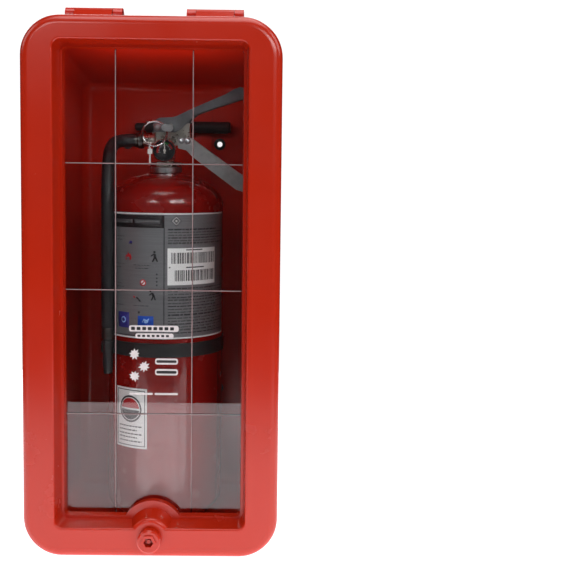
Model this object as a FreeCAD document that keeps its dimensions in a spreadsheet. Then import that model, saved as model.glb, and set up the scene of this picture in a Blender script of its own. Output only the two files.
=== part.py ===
import FreeCAD, Part
import Sketcher
import math
import os

# Surface-mounted fire-extinguisher cabinet with a break-out clear panel and a
# stored-pressure dry-chemical extinguisher inside it. Millimetres, +Z up.
# X is the viewer's right, Y runs from the front into the cabinet, and the
# origin is the bottom centre of the whole object's box. "Depth" below means
# the distance behind the front face of the cover: y = depth + FrontY.

V = FreeCAD.Vector
doc = FreeCAD.newDocument("ExtinguisherCabinet")
sheet = doc.addObject("Spreadsheet::Sheet", "Sheet")

DIMS = [
    ("FrontY", -118.0), ("CoverWidth", 280.0), ("CoverHeight", 590.0),
    ("CoverCorner", 43.0), ("CoverWall", 3.5), ("SkirtDepth", 36.0), ("FrontFillet", 10.0),
    ("RecessHalf", 104.5), ("RecessLow", 33.5), ("RecessHigh", 564.0), ("RecessDepth", 24.0),
    ("WindowHalf", 97.5), ("WindowLow", 40.6), ("WindowHigh", 557.0),
    ("LockZ", 22.0), ("LockHead", 13.0), ("LockProud", 12.0), ("LockBarrel", 9.5),
    ("BossFront", 22.0), ("BossBack", 27.0), ("ArchRadius", 35.0),
    ("PanelFront", 34.0), ("PanelThick", 3.0), ("PanelHalf", 110.0), ("PanelLow", 29.0), ("PanelHigh", 564.0),
    ("ScoreX", 42.5), ("ScoreLow", 153.0), ("ScoreMid", 293.0), ("ScoreHigh", 433.0), ("ScoreWidth", 1.4),
    ("TubWall", 3.5), ("TubHalfFront", 128.0), ("TubHalfBack", 120.0), ("TubLow", 12.0), ("TubHigh", 577.0),
    ("TubBackTop", 248.57), ("TubBackTopZ", 538.0), ("TubBackLow", 226.5),
    ("FlangeHalf", 135.0), ("FlangeFront", 38.0), ("FlangeBack", 49.0), ("FlangeLow", 5.0), ("FlangeHigh", 585.0),
    ("HingeX", 66.0), ("HingeHalf", 31.0), ("HingeDepth", 40.0), ("HingeZ", 594.0), ("HingeKnuckle", 8.0),
    ("HingePin", 2.5), ("MountX", 60.0), ("MountLow", 141.0), ("MountHigh", 460.0), ("MountHole", 3.5),
    ("AxisX", 3.0), ("AxisY", 7.0), ("FloorZ", 15.5),
    ("CylRadius", 68.0), ("CylWall", 1.8), ("ShoulderZ", 385.0), ("NeckZ", 425.0), ("NeckRadius", 15.0),
    ("CollarRadius", 19.0), ("StemRadius", 2.5), ("PinRadius", 2.4), ("PinX", 9.5), ("PinZ", 475.0),
    ("PivotX", -6.0), ("PivotZ", 479.0), ("PivotRadius", 2.5),
    ("RingRadius", 14.2), ("RingWire", 1.2), ("GaugeZ", 449.0), ("GaugeRadius", 13.5),
    ("HoseRadius", 7.5), ("HoseBore", 4.0), ("StrapLow", 213.0), ("StrapHigh", 229.0),
    ("LabelLow", 234.0), ("LabelHigh", 378.0), ("FilmThick", 0.25),
]
for i, (alias, value) in enumerate(DIMS, start=1):
    sheet.set("A%d" % i, alias)
    sheet.set("B%d" % i, repr(value))
    sheet.setAlias("B%d" % i, alias)
doc.recompute()


def D(alias):
    """A driving dimension, read from the sheet."""
    return float(sheet.get(alias))


def S(text):
    """Turn bare aliases in an expression into references to the sheet."""
    out = str(text)
    for alias, _ in sorted(DIMS, key=lambda d: -len(d[0])):
        out = out.replace(alias, "@%d@" % [d[0] for d in DIMS].index(alias))
    for k, (alias, _) in enumerate(DIMS):
        out = out.replace("@%d@" % k, "Sheet." + alias)
    return out


YF = D("FrontY")
AX, AY = D("AxisX"), D("AxisY")
nodes = []


def keep(obj, label):
    obj.Label = label
    nodes.append((label, obj))
    return obj


def placed(x=0.0, y=0.0, z=0.0, axis=None, angle=0.0):
    rot = FreeCAD.Rotation(V(*axis), angle) if axis else FreeCAD.Rotation()
    return FreeCAD.Placement(V(x, y, z), rot)


def prim(kind, name, place=None, **sizes):
    """A Part primitive whose sizes are bound to the sheet."""
    o = doc.addObject("Part::" + kind, name)
    for key, value in sizes.items():
        if isinstance(value, str):
            o.setExpression(key, S(value))
        else:
            setattr(o, key, value)
    if place:
        o.Placement = place
    return o


def fuse(name, *objs):
    o = doc.addObject("Part::MultiFuse", name)
    o.Shapes = list(objs)
    return o


def cut(name, base, *tools):
    tool = tools[0] if len(tools) == 1 else fuse(name + "_tools", *tools)
    o = doc.addObject("Part::Cut", name)
    o.Base = base
    o.Tool = tool
    return o


def group(name, *objs):
    """Separate identical solids that share one node."""
    o = doc.addObject("Part::Compound", name)
    o.Links = list(objs)
    return o


def feature(name, shape):
    o = doc.addObject("Part::Feature", name)
    o.Shape = shape
    return o


def origin_plane(body, role):
    for f in body.Origin.OriginFeatures:
        if f.Role == role:
            return f
    raise RuntimeError("no plane " + role)


def profile(body, name, role, points):
    """A closed straight-sided sketch: each corner's two coordinates are bound to the sheet."""
    sk = body.newObject("Sketcher::SketchObject", name)
    sk.AttachmentSupport = [(origin_plane(body, role), "")]
    sk.MapMode = "FlatFace"
    nums = []
    for px, pz in points:
        row = []
        for v in (px, pz):
            text = str(v)
            for alias, _ in sorted(DIMS, key=lambda d: -len(d[0])):
                text = text.replace(alias, "(%r)" % D(alias))
            row.append(float(number_of(text)))
        nums.append(row)
    n = len(nums)
    for k in range(n):
        a, b = nums[k], nums[(k + 1) % n]
        sk.addGeometry(Part.LineSegment(V(a[0], a[1], 0), V(b[0], b[1], 0)), False)

    for k in range(n):
        sk.addConstraint(Sketcher.Constraint("Coincident", k, 2, (k + 1) % n, 1))
    for k in range(n):
        for axis, kind in ((0, "DistanceX"), (1, "DistanceY")):
            value = nums[k][axis]
            if abs(value) < 1e-9:
                sk.addConstraint(Sketcher.Constraint("PointOnObject", k, 1, -2 if axis == 0 else -1))
            else:
                idx = sk.addConstraint(Sketcher.Constraint(kind, -1, 1, k, 1, value))
                if isinstance(points[k][axis], str):
                    sk.setExpression("Constraints[%d]" % idx, S(points[k][axis]))
    return sk


def number_of(text):
    """Work out a plain sum or product of numbers, such as (68.0)-(1.8)/2."""
    pos = [0]

    def peek():
        while pos[0] < len(text) and text[pos[0]] == " ":
            pos[0] += 1
        return text[pos[0]] if pos[0] < len(text) else ""

    def atom():
        c = peek()
        if c == "(":
            pos[0] += 1
            v = total()
            peek()
            pos[0] += 1
            return v
        if c == "-":
            pos[0] += 1
            return -atom()
        start = pos[0]
        while pos[0] < len(text) and (text[pos[0]].isdigit() or text[pos[0]] == "."):
            pos[0] += 1
        return float(text[start:pos[0]])

    def term():
        v = atom()
        while peek() and peek() in "*/":
            op = peek()
            pos[0] += 1
            w = atom()
            v = v * w if op == "*" else v / w
        return v

    def total():
        v = term()
        while peek() and peek() in "+-":
            op = peek()
            pos[0] += 1
            w = term()
            v = v + w if op == "+" else v - w
        return v

    return total()


def turned(label, points, place=None, fillets=None):
    """A PartDesign body turned about its own Z axis from a radius/height profile."""
    b = doc.addObject("PartDesign::Body", label + "_body")
    sk = profile(b, label + "_sketch", "XZ_Plane", points)
    r = b.newObject("PartDesign::Revolution", label + "_turn")
    r.Profile = sk
    r.ReferenceAxis = (sk, ["V_Axis"])
    r.Angle = 360
    if place:
        b.Placement = place
    return b


def padded(label, points, length, role="XY_Plane", place=None, midplane=False, reverse=False):
    """A PartDesign body padded from a straight-sided sketch."""
    b = doc.addObject("PartDesign::Body", label + "_body")
    sk = profile(b, label + "_sketch", role, points)
    p = b.newObject("PartDesign::Pad", label + "_pad")
    p.Profile = sk
    if isinstance(length, str):
        p.setExpression("Length", S(length))
    else:
        p.Length = length
    p.Midplane = midplane
    p.Reversed = reverse
    if place:
        b.Placement = place
    return b


def rounded_wire(x0, x1, z0, z1, r, depth):
    """A rounded rectangle in the plane at the given depth."""
    y = YF + depth
    r = max(r, 0.2)
    q = math.sqrt(0.5)
    e = [
        Part.LineSegment(V(x0 + r, y, z0), V(x1 - r, y, z0)),
        Part.Arc(V(x1 - r, y, z0), V(x1 - r + r * q, y, z0 + r - r * q), V(x1, y, z0 + r)),
        Part.LineSegment(V(x1, y, z0 + r), V(x1, y, z1 - r)),
        Part.Arc(V(x1, y, z1 - r), V(x1 - r + r * q, y, z1 - r + r * q), V(x1 - r, y, z1)),
        Part.LineSegment(V(x1 - r, y, z1), V(x0 + r, y, z1)),
        Part.Arc(V(x0 + r, y, z1), V(x0 + r - r * q, y, z1 - r + r * q), V(x0, y, z1 - r)),
        Part.LineSegment(V(x0, y, z1 - r), V(x0, y, z0 + r)),
        Part.Arc(V(x0, y, z0 + r), V(x0 + r - r * q, y, z0 + r - r * q), V(x0 + r, y, z0)),
    ]
    return Part.Wire([s.toShape() for s in e])


def slab(x0, x1, z0, z1, r, d0, d1):
    """A rounded plate between two depths."""
    return Part.Face(rounded_wire(x0, x1, z0, z1, r, d0)).extrude(V(0, d1 - d0, 0))


def lofted(a, b):
    """A drafted block: a and b are (x0, x1, z0, z1, r, depth)."""
    return Part.makeLoft([rounded_wire(*a), rounded_wire(*b)], True, True)


def box(x0, x1, y0, y1, z0, z1):
    return Part.makeBox(x1 - x0, y1 - y0, z1 - z0, V(x0, y0, z0))


def rod(r, p, axis, length):
    return Part.makeCylinder(r, length, V(*p), V(*axis))


def edges_at(shape, test):
    return [e for e in shape.Edges if test(e)]


# ---------------------------------------------------------------- the tub
HX, HH = D("HingeX"), D("HingeHalf")
HY, HZ, HK = YF + D("HingeDepth"), D("HingeZ"), D("HingeKnuckle")
slope = math.atan2(D("TubHigh") - D("TubBackTopZ"), D("TubBackTop") - D("FlangeBack"))
lean = math.atan2(D("TubBackTop") - D("TubBackLow"), D("TubBackTopZ") - D("TubLow"))


def tub_block(off):
    """The tub's outer block, or its inside when off is the wall."""
    y0 = YF + D("FlangeFront") - (2.0 if off else 0.0)
    ts, tl = math.tan(slope), math.tan(lean)
    z_low = D("TubLow") + off

    def roof(y):
        return D("TubHigh") - (y - YF - D("FlangeBack")) * ts - off / math.cos(slope)

    def back(z):
        return YF + D("TubBackTop") - (D("TubBackTopZ") - z) * tl - off / math.cos(lean)

    # where the roof meets the back wall
    yb = back(D("TubBackTopZ"))
    for _ in range(20):
        yb = back(roof(yb))
    pts = [V(0, y0, z_low), V(0, y0, roof(y0)), V(0, yb, roof(yb)), V(0, back(z_low), z_low)]
    wide = D("TubHalfFront") + 5.0
    prof = Part.Face(Part.makePolygon(pts + [pts[0]])).extrude(V(2 * wide, 0, 0))
    prof.translate(V(-wide, 0, 0))
    # drafted sides
    draft = (D("TubHalfFront") - D("TubHalfBack")) / (D("TubBackTop") - D("FlangeBack"))
    y1, y2 = y0 - 1.0, YF + D("TubBackTop") + 20.0

    def half(y):
        return D("TubHalfFront") - (y - YF - D("FlangeBack")) * draft - off

    plan = Part.makePolygon([V(-half(y1), y1, 0), V(half(y1), y1, 0), V(half(y2), y2, 0), V(-half(y2), y2, 0), V(-half(y1), y1, 0)])
    block = prof.common(Part.Face(plan).extrude(V(0, 0, 700)))
    # the same radius on every edge but those of the open front
    es = edges_at(block, lambda e: e.BoundBox.YMax > y0 + 1.0)
    block = block.makeFillet(16.0 - off, es)
    return block, back, roof


outer, back_out, roof_out = tub_block(0.0)
inner, back_in, roof_in = tub_block(D("TubWall"))
print("tub blocks", outer.isValid(), inner.isValid(), round(outer.Volume), round(inner.Volume))
flange = slab(-D("FlangeHalf"), D("FlangeHalf"), D("FlangeLow"), D("FlangeHigh"), D("CoverCorner") - 5.0,
              D("FlangeFront"), D("FlangeBack"))
tub = outer.fuse(flange).cut(inner)
# raised pad pressed into the back wall: 5.5 mm forward inside, the same hollow outside
inner_fwd = inner.copy()
inner_fwd.translate(V(0, -5.5, 0))
outer_fwd = outer.copy()
outer_fwd.translate(V(0, -5.5, 0))
pad_in = box(-50, 50, YF + 150, YF + 260, 62, 498).common(inner).cut(inner_fwd)
pad_hollow = box(-46, 46, YF + 150, YF + 270, 66, 494).cut(outer_fwd)
tub = tub.fuse(pad_in).cut(pad_hollow)
# hinge cheeks and the wedge behind each knuckle
for sx in (-1, 1):
    for c0, c1 in ((-HH, -HH + 10.0), (HH - 10.0, HH)):
        xa, xb = sx * HX + c0, sx * HX + c1
        cheek = rod(HK, (xa, HY, HZ), (1, 0, 0), xb - xa)
        web = Part.Face(Part.makePolygon([V(xa, HY - HK + 4, HZ - 9.5), V(xa, HY + 1.5, HZ + HK - 0.15),
                                          V(xa, HY + HK - 1.0, HZ + 4.0), V(xa, YF + 71.0, D("TubHigh") - 8.0),
                                          V(xa, YF + 52.0, D("TubHigh") - 8.0), V(xa, HY, HZ - 12.0),
                                          V(xa, HY - HK + 4, HZ - 9.5)])).extrude(V(xb - xa, 0, 0))
        tub = tub.fuse(cheek.fuse(web))
    xa, xb = sx * HX - HH + 10.0, sx * HX + HH - 10.0
    wedge = Part.Face(Part.makePolygon([V(xa, HY + HK + 0.8, HZ - 20), V(xa, HY + HK + 0.8, HZ + 3.0),
                                        V(xa, YF + 71.0, D("TubHigh") - 8.0), V(xa, HY + HK + 0.8, HZ - 20)])).extrude(V(xb - xa, 0, 0))
    tub = tub.fuse(wedge)
# side lips that reach into the cover's channel
for sx in (-1, 1):
    lip = box(-1.5, 1.5, YF + 22.0, YF + D("FlangeFront") + 2.0, 60, 538)
    lip.translate(V(sx * 129.0, 0, 0))
    tub = tub.fuse(lip)
tub = tub.cut(inner_fwd.cut(box(-400, 400, YF + 100, YF + 400, -10, 700)))
# bores for the hinge pins and the four wall fixings
for sx in (-1, 1):
    tub = tub.cut(rod(D("HingePin"), (sx * HX - HH - 1, HY, HZ), (1, 0, 0), 2 * HH + 2))
    for z in (D("MountLow"), D("MountHigh")):
        tub = tub.cut(rod(D("MountHole") + 2.0, (sx * D("MountX"), YF + 200, z), (0, 1, 0), 70))
tub = tub.removeSplitter()
if tub.ShapeType == "Compound" and len(tub.Solids) == 1:
    tub = tub.Solids[0]
keep(feature("cabinet_body", tub), "cabinet_body")

pins = [prim("Cylinder", "hinge_pin_%d" % k, placed(sx * HX - HH, HY, HZ, (0, 1, 0), 90), Radius="HingePin", Height="2*HingeHalf")
        for k, sx in enumerate((-1, 1))]
keep(group("hinge_pins", *pins), "hinge_pins")

# foam dust seal on the flange's front face
seal = slab(-134.3, 134.3, 5.8, 581.0, 37.0, 36.4, 38.0).cut(slab(-131.2, 131.2, 8.9, 577.9, 34.0, 36.0, 38.5))
keep(feature("rim_gasket", seal), "rim_gasket")

# rubber grommets in the four wall holes, cut to the leaning wall
grom = []
wall_out, wall_in = outer.copy(), inner.copy()
step_in = inner.copy()
step_in.translate(V(0, -1.2, 0))
for sx in (-1, 1):
    for z in (D("MountLow"), D("MountHigh")):
        p = (sx * D("MountX"), YF + 200, z)
        tube = rod(D("MountHole") + 2.0, p, (0, 1, 0), 70).cut(rod(D("MountHole"), p, (0, 1, 0), 70)).common(wall_out).cut(step_in)
        rim = rod(D("MountHole") + 4.0, p, (0, 1, 0), 70).cut(rod(D("MountHole"), p, (0, 1, 0), 70)).common(wall_in).cut(step_in)
        grom.append(tube.fuse(rim).removeSplitter())
keep(feature("mount_hole_grommets", Part.makeCompound([s for g in grom for s in g.Solids])), "mount_hole_grommets")

# breaker bar on the back wall, with two spring clips
BZ = 481.0
BY = back_in(BZ) - 5.5 - 10.5
bar = turned("breaker_bar", [(0, 0), (3.5, 0), (5.0, 2.0), (5.0, 14.0), (7.5, 14.0), (7.5, 120.0), (6.0, 123.0), (0, 123.0)],
             placed(-48.0, BY, BZ, (0, 1, 0), 90))
keep(bar, "breaker_bar")
clips = []
for xc in (-22.0, 22.0):
    c = rod(9.0, (xc - 4, BY, BZ), (1, 0, 0), 8).cut(rod(7.6, (xc - 5, BY, BZ), (1, 0, 0), 10))
    c = c.cut(box(xc - 5, xc + 5, BY - 12, BY - 3.5, BZ - 12, BZ + 12))
    foot = box(xc - 4, xc + 4, BY + 8.2, BY + 40, BZ - 7, BZ + 7).common(inner_fwd)
    clips.append(c.fuse(foot).removeSplitter())
keep(feature("breaker_bar_clips", Part.makeCompound([s for c in clips for s in c.Solids])), "breaker_bar_clips")

# printed film on the right-hand side wall
skin = outer.copy()
film_out = outer.copy()
film_out.translate(V(D("FilmThick"), 0, 0))
film = box(100, 140, YF + 88.0, YF + 196.0, 128.0, 417.0).common(film_out).cut(skin)
film = max(film.Solids, key=lambda s: s.Volume) if film.Solids else film
keep(feature("side_decal", film), "side_decal")

# steel keeper behind the lock, riveted to the tub floor
KY = YF + 46.0
keeper = box(-26, 26, KY, KY + 2.5, D("FloorZ"), 40).fuse(box(-26, 26, KY - 9.0, KY, D("FloorZ"), D("FloorZ") + 2.0))
keeper = keeper.cut(box(-8.5, 8.5, KY - 12, KY + 4.5, D("FloorZ") - 1, 60)).fuse(
    box(-8.6, 8.6, KY - 9.0, KY + 2.5, D("FloorZ"), D("FloorZ") + 0.45)).removeSplitter()
for sx in (-1, 1):
    keeper = keeper.cut(rod(2.0, (sx * 17.5, KY - 4.5, D("FloorZ") - 1), (0, 0, 1), 5))
keep(feature("lock_keeper", keeper), "lock_keeper")
riv = [turned("keeper_rivet_%d" % k, [(0, -3.5), (2.0, -3.5), (2.0, 2.0), (3.4, 2.0), (2.8, 3.0), (0, 3.6)],
              placed(sx * 17.5, KY - 4.5, D("FloorZ"))) for k, sx in enumerate((-1, 1))]
keep(group("keeper_rivets", *riv), "keeper_rivets")
for sx in (-1, 1):
    tub = tub.cut(rod(2.0, (sx * 17.5, KY - 4.5, D("FloorZ") - 3.5), (0, 0, 1), 5))
doc.getObject("cabinet_body").Shape = tub


# -------------------------------------------------------------- the cover
CW, CH, CC = D("CoverWidth") / 2, D("CoverHeight"), D("CoverCorner")
body = slab(-CW, CW, 0, CH, CC, 0, D("SkirtDepth"))
front_edges = edges_at(body, lambda e: e.BoundBox.YMax < YF + 0.01)
body = body.makeFillet(D("FrontFillet"), front_edges)
w = D("CoverWall")
hollow = slab(-CW + w, CW - w, w, CH - w, CC - w, w, D("SkirtDepth") + 5)
hollow_front = edges_at(hollow, lambda e: e.BoundBox.YMax < YF + w + 0.01)
hollow = hollow.makeFillet(D("FrontFillet") - w, hollow_front)
cover = body.cut(hollow)
RH, RL, RU, RD = D("RecessHalf"), D("RecessLow"), D("RecessHigh"), D("RecessDepth")
WH, WL, WU, WD = D("WindowHalf"), D("WindowLow"), D("WindowHigh"), D("PanelFront") - 0.5
t = 3.0
outer_wall = lofted((-RH - t, RH + t, RL - t, RU + t, 12, 0.5), (-RH - t + 3.0, RH + t - 3.0, RL - t + 2.6, RU + t - 2.6, 11, RD))
outer_wall = outer_wall.fuse(slab(-RH - t + 3.0, RH + t - 3.0, RL - t + 2.6, RU + t - 2.6, 11, RD - 0.01, WD))
flange_ring = slab(-121, 121, D("PanelLow") - 3, D("PanelHigh") + 10, 12, WD - 3.0, WD)
cover = cover.fuse(outer_wall).fuse(flange_ring)
step1 = lofted((-RH - 0.12, RH + 0.12, RL - 0.12, RU + 0.12, 9, -1.0), (-RH + 3.2, RH - 3.2, RL + 2.8, RU - 2.8, 8, RD))
step2 = lofted((-WH - 1.0, WH + 1.0, WL - 1.0, WU + 1.0, 5.5, RD - 0.01), (-WH, WH, WL, WU, 5, WD + 1))
cover = cover.cut(step1).cut(step2)
rim = edges_at(cover, lambda e: abs(e.BoundBox.YMax - YF) < 0.02 and abs(e.BoundBox.YMin - YF) < 0.02
               and e.BoundBox.XMin > -RH - 2 and e.BoundBox.XMax < RH + 2)
print("rim edges", len(rim))
cover = cover.makeFillet(2.2, rim)
# boss round the lock, and the arch of the window ledge above it
LZ = D("LockZ")
boss = Part.makeCone(D("BossFront"), D("BossBack"), RD, V(0, YF + 0.0, LZ), V(0, 1, 0))
boss = boss.makeFillet(5.0, edges_at(boss, lambda e: e.BoundBox.YMax < YF + 0.1 and e.BoundBox.XLength > 20))
arch = rod(D("ArchRadius"), (0, YF + RD, LZ), (0, 1, 0), WD - RD)
keep_out = box(-60, 60, YF - 5, YF + 60, LZ - 60, w)
boss_arch = boss.fuse(arch).common(body.fuse(box(-60, 60, YF + 5, YF + 60, w, 120)))
boss_hollow = Part.makeCone(D("BossFront") - 4.0, D("BossBack") - 4.0, RD - 0.5, V(0, YF + w, LZ), V(0, 1, 0))
arch_hollow = rod(D("BossBack") + 2.0, (0, YF + RD + 3.0, LZ), (0, 1, 0), 20)
cover = cover.fuse(boss_arch).cut(boss_hollow).cut(arch_hollow)
cover = cover.cut(rod(D("LockBarrel") + 0.0, (0, YF - 5, LZ), (0, 1, 0), 20))
# hinge knuckles and their webs, and relief for the cheeks
for sx in (-1, 1):
    xa, xb = sx * HX - HH + 10.4, sx * HX + HH - 10.4
    knuckle = rod(HK, (xa, HY, HZ), (1, 0, 0), xb - xa)
    web = Part.Face(Part.makePolygon([V(xa, YF + 20, CH - 3.0), V(xa, YF + 20, CH - 0.5), V(xa, HY - 3.0, HZ + HK - 0.6),
                                      V(xa, HY - 1.0, HZ), V(xa, HY - 4.0, HZ - 6.9), V(xa, YF + 36, CH - 3.0),
                                      V(xa, YF + 20, CH - 3.0)])).extrude(V(xb - xa, 0, 0))
    cover = cover.fuse(knuckle.fuse(web))
    for c0 in (-HH - 0.4, HH - 10.4):
        cover = cover.cut(rod(HK + 0.6, (sx * HX + c0, HY, HZ), (1, 0, 0), 10.8))
    cover = cover.cut(rod(D("HingePin") + 0.05, (sx * HX - HH - 1, HY, HZ), (1, 0, 0), 2 * HH + 2))
cover = cover.removeSplitter()
if cover.ShapeType == "Compound" and len(cover.Solids) == 1:
    cover = cover.Solids[0]
cover_frame = keep(feature("cover_frame", cover), "cover_frame")

# clear scored panel, notched round the lock
PH, PL, PU, PF, PT = D("PanelHalf"), D("PanelLow"), D("PanelHigh"), D("PanelFront"), D("PanelThick")
panel = slab(-PH, PH, PL, PU, 9, PF, PF + PT).cut(rod(29.0, (0, YF + PF - 5, LZ), (0, 1, 0), 20))
sw = D("ScoreWidth") / 2
for xs in (-D("ScoreX"), D("ScoreX")):
    panel = panel.cut(Part.Face(Part.makePolygon([V(xs - sw, YF + PF + PT + 0.01, 20), V(xs + sw, YF + PF + PT + 0.01, 20),
                                                  V(xs, YF + PF + PT - 0.9, 20), V(xs - sw, YF + PF + PT + 0.01, 20)])).extrude(V(0, 0, 580)))
for zs in (D("ScoreLow"), D("ScoreMid"), D("ScoreHigh")):
    panel = panel.cut(Part.Face(Part.makePolygon([V(-130, YF + PF + PT + 0.01, zs - sw), V(-130, YF + PF + PT + 0.01, zs + sw),
                                                  V(-130, YF + PF + PT - 0.9, zs), V(-130, YF + PF + PT + 0.01, zs - sw)])).extrude(V(260, 0, 0)))
keep(feature("clear_panel", panel), "clear_panel")

strip = slab(-PH, PH, PL, PU, 9, WD, PF).cut(slab(-102, 102, WL - 6, WU + 6, 6, WD - 1, PF + 1)).cut(
    rod(33.0, (0, YF + WD - 2, LZ), (0, 1, 0), 10))
keep(feature("panel_gasket", strip), "panel_gasket")

# eight clips and screws that hold the panel from behind
y0 = YF + PF + PT
clip_solids, screw_solids = [], []
spots = [(sx, 0, z) for sx in (-1, 1) for z in (110.0, 298.0, 486.0)] + [(0, -62.0, 0), (0, 62.0, 0)]
for k, (sx, xt, z) in enumerate(spots):
    if sx:
        plate = box(min(sx * 105.5, sx * 120.3), max(sx * 105.5, sx * 120.3), y0, y0 + 1.2, z - 8, z + 8)
        foot = box(min(sx * 110.5, sx * 120.3), max(sx * 110.5, sx * 120.3), YF + WD, y0, z - 6, z + 6)
        px, pz = sx * 115.8, z
    else:
        plate = box(xt - 8, xt + 8, y0, y0 + 1.2, PU - 6, PU + 9)
        foot = box(xt - 6, xt + 6, YF + WD, y0, PU + 0.5, PU + 9)
        px, pz = xt, PU + 4.9
    hole = rod(1.5, (px, YF + WD - 3.6, pz), (0, 1, 0), 12)
    clip_solids.append(plate.fuse(foot).cut(hole).removeSplitter())
    cover = cover.cut(hole)
    screw_solids.append(turned("panel_screw_%d" % k, [(0, 0), (2.6, 0), (3.1, 0.7), (3.1, 1.6), (1.5, 1.6), (1.5, 8.2), (0.6, 9.0), (0, 9.0)],
                               placed(px, y0 + 1.2 + 1.6, pz, (1, 0, 0), 90)))
keep(feature("panel_clips", Part.makeCompound([s for c in clip_solids for s in c.Solids])), "panel_clips")
keep(group("panel_screws", *screw_solids), "panel_screws")
cover_frame.Shape = cover

# the quarter-turn lock
keep(turned("lock_bush", [("LockBarrel-3.45", -1.0), (12.6, -1.0), (12.6, 0), ("LockBarrel", 0), ("LockBarrel", 22.0), ("LockBarrel-3.45", 22.0)],
            placed(0, YF, LZ, (1, 0, 0), -90)), "lock_bush")
nut = Part.Face(Part.makePolygon([V(13.6 * math.cos(math.radians(a)), YF + w, LZ + 13.6 * math.sin(math.radians(a)))
                                  for a in range(0, 361, 60)])).extrude(V(0, 5.0, 0))
keep(feature("lock_nut", nut.cut(rod(D("LockBarrel"), (0, YF, LZ), (0, 1, 0), 20))), "lock_nut")
head = turned("lock_plug_head", [(0, -10.2), ("LockHead-1.6", -10.2), ("LockHead", -8.6), ("LockHead", -1.2), (6.0, -1.2), (6.0, 50.0), (0, 50.0)],
              placed(0, YF, LZ, (1, 0, 0), -90))


def hexa(af, d0, d1, place_x=0.0, z=LZ):
    rr = af / math.sqrt(3.0)
    return Part.Face(Part.makePolygon([V(place_x + rr * math.cos(math.radians(a)), YF + d0, z + rr * math.sin(math.radians(a)))
                                       for a in range(0, 361, 60)])).extrude(V(0, d1 - d0, 0))


doc.recompute()
plug = head.Shape.copy()
plug = plug.fuse(hexa(15.0, -D("LockProud"), -10.2)).cut(hexa(9.4, -D("LockProud") - 1, -5.0))
plug = plug.fuse(rod(2.2, (0, YF - 8.2, LZ), (0, 1, 0), 4.0))
plug = plug.fuse(box(-3.5, 3.5, YF + 50.0, YF + 52.6, LZ - 3.5, LZ + 3.5))
for sx in (-1, 1):
    plug = plug.cut(rod(1.0, (sx * 4.0, YF - 4.0, LZ + 5), (0, 0, 1), 12))
plug = plug.cut(rod(1.6, (0, YF + 42.0, LZ), (0, 1, 0), 14)).removeSplitter()
keep(feature("lock_plug", plug), "lock_plug")
cam = box(-5, 5, YF + 50.0, YF + 52.5, LZ, LZ + 18).fuse(rod(5.6, (0, YF + 50.0, LZ), (0, 1, 0), 2.5)).removeSplitter().cut(box(-3.5, 3.5, YF + 49, YF + 54, LZ - 3.5, LZ + 3.5))
keep(feature("lock_cam", cam), "lock_cam")
keep(turned("lock_cam_screw", [(0, -9.0), (1.6, -9.0), (1.6, 0), (4.6, 0), (4.6, 1.0), (3.4, 2.4), (0, 2.4)],
            placed(0, YF + 52.6, LZ, (1, 0, 0), -90)), "lock_cam_screw")
keep(feature("lock_retaining_ring", rod(8.6, (0, YF + 22.3, LZ), (0, 1, 0), 1.2).cut(rod(6.0, (0, YF + 22, LZ), (0, 1, 0), 3)).cut(
    box(-1.2, 1.2, YF + 22, YF + 24, LZ - 10, LZ - 5))), "lock_retaining_ring")


# -------------------------------------------------------- the extinguisher
CR, CWL, SZ = D("CylRadius"), D("CylWall"), D("ShoulderZ")
AT = placed(AX, AY, 0)


def shell_profile(off):
    """Half section of the pressure shell, moved inwards by off."""
    kr, cr = 28.0 - off, 82.0 - off
    kc = V(CR - 28.0, 0, SZ)
    a = math.radians(55.0)
    c2 = V(kc.x + (28.0 - 82.0) * math.cos(a), 0, kc.z + (28.0 - 82.0) * math.sin(a))
    nr = D("NeckRadius")
    top = V(nr, 0, c2.z + math.sqrt(cr * cr - (nr - c2.x) ** 2))
    p1 = V(CR - off, 0, SZ)
    p2 = V(kc.x + kr * math.cos(a), 0, kc.z + kr * math.sin(a))
    pm = V(kc.x + kr * math.cos(a / 2), 0, kc.z + kr * math.sin(a / 2))
    b2 = math.atan2(top.z - c2.z, top.x - c2.x)
    bm = (a + b2) / 2
    pq = V(c2.x + cr * math.cos(bm), 0, c2.z + cr * math.sin(bm))
    zb, rb = 22.0 + off, 14.0 - off
    q = math.sqrt(0.5)
    cb = V(CR - 14.0, 0, 36.0)
    lo = V(cb.x, 0, zb)
    lm = V(cb.x + rb * q, 0, cb.z - rb * q)
    hi = V(CR - off, 0, 36.0)
    return [Part.LineSegment(V(0, 0, zb), lo), Part.Arc(lo, lm, hi), Part.LineSegment(hi, p1),
            Part.Arc(p1, pm, p2), Part.Arc(p2, pq, top)], top


def revolve(edges):
    face = Part.Face(Part.Wire([e.toShape() for e in edges]))
    solid = face.revolve(V(0, 0, 0), V(0, 0, 1), 360)
    return Part.Solid(solid) if solid.ShapeType == "Shell" else solid


outl, otop = shell_profile(0.0)
inl, itop = shell_profile(CWL)
full_out = revolve(outl + [Part.LineSegment(otop, V(0, 0, otop.z)), Part.LineSegment(V(0, 0, otop.z), V(0, 0, 22.0))])
full_in = revolve(inl + [Part.LineSegment(itop, V(0, 0, itop.z)), Part.LineSegment(V(0, 0, itop.z), V(0, 0, 22.0 + CWL))])
shell = full_out.cut(full_in).cut(rod(D("NeckRadius"), (0, 0, 400), (0, 0, 1), 60))
shell.Placement = AT
keep(feature("cylinder_shell", shell), "cylinder_shell")
print("shell", shell.isValid(), round(otop.z, 2))

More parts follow.
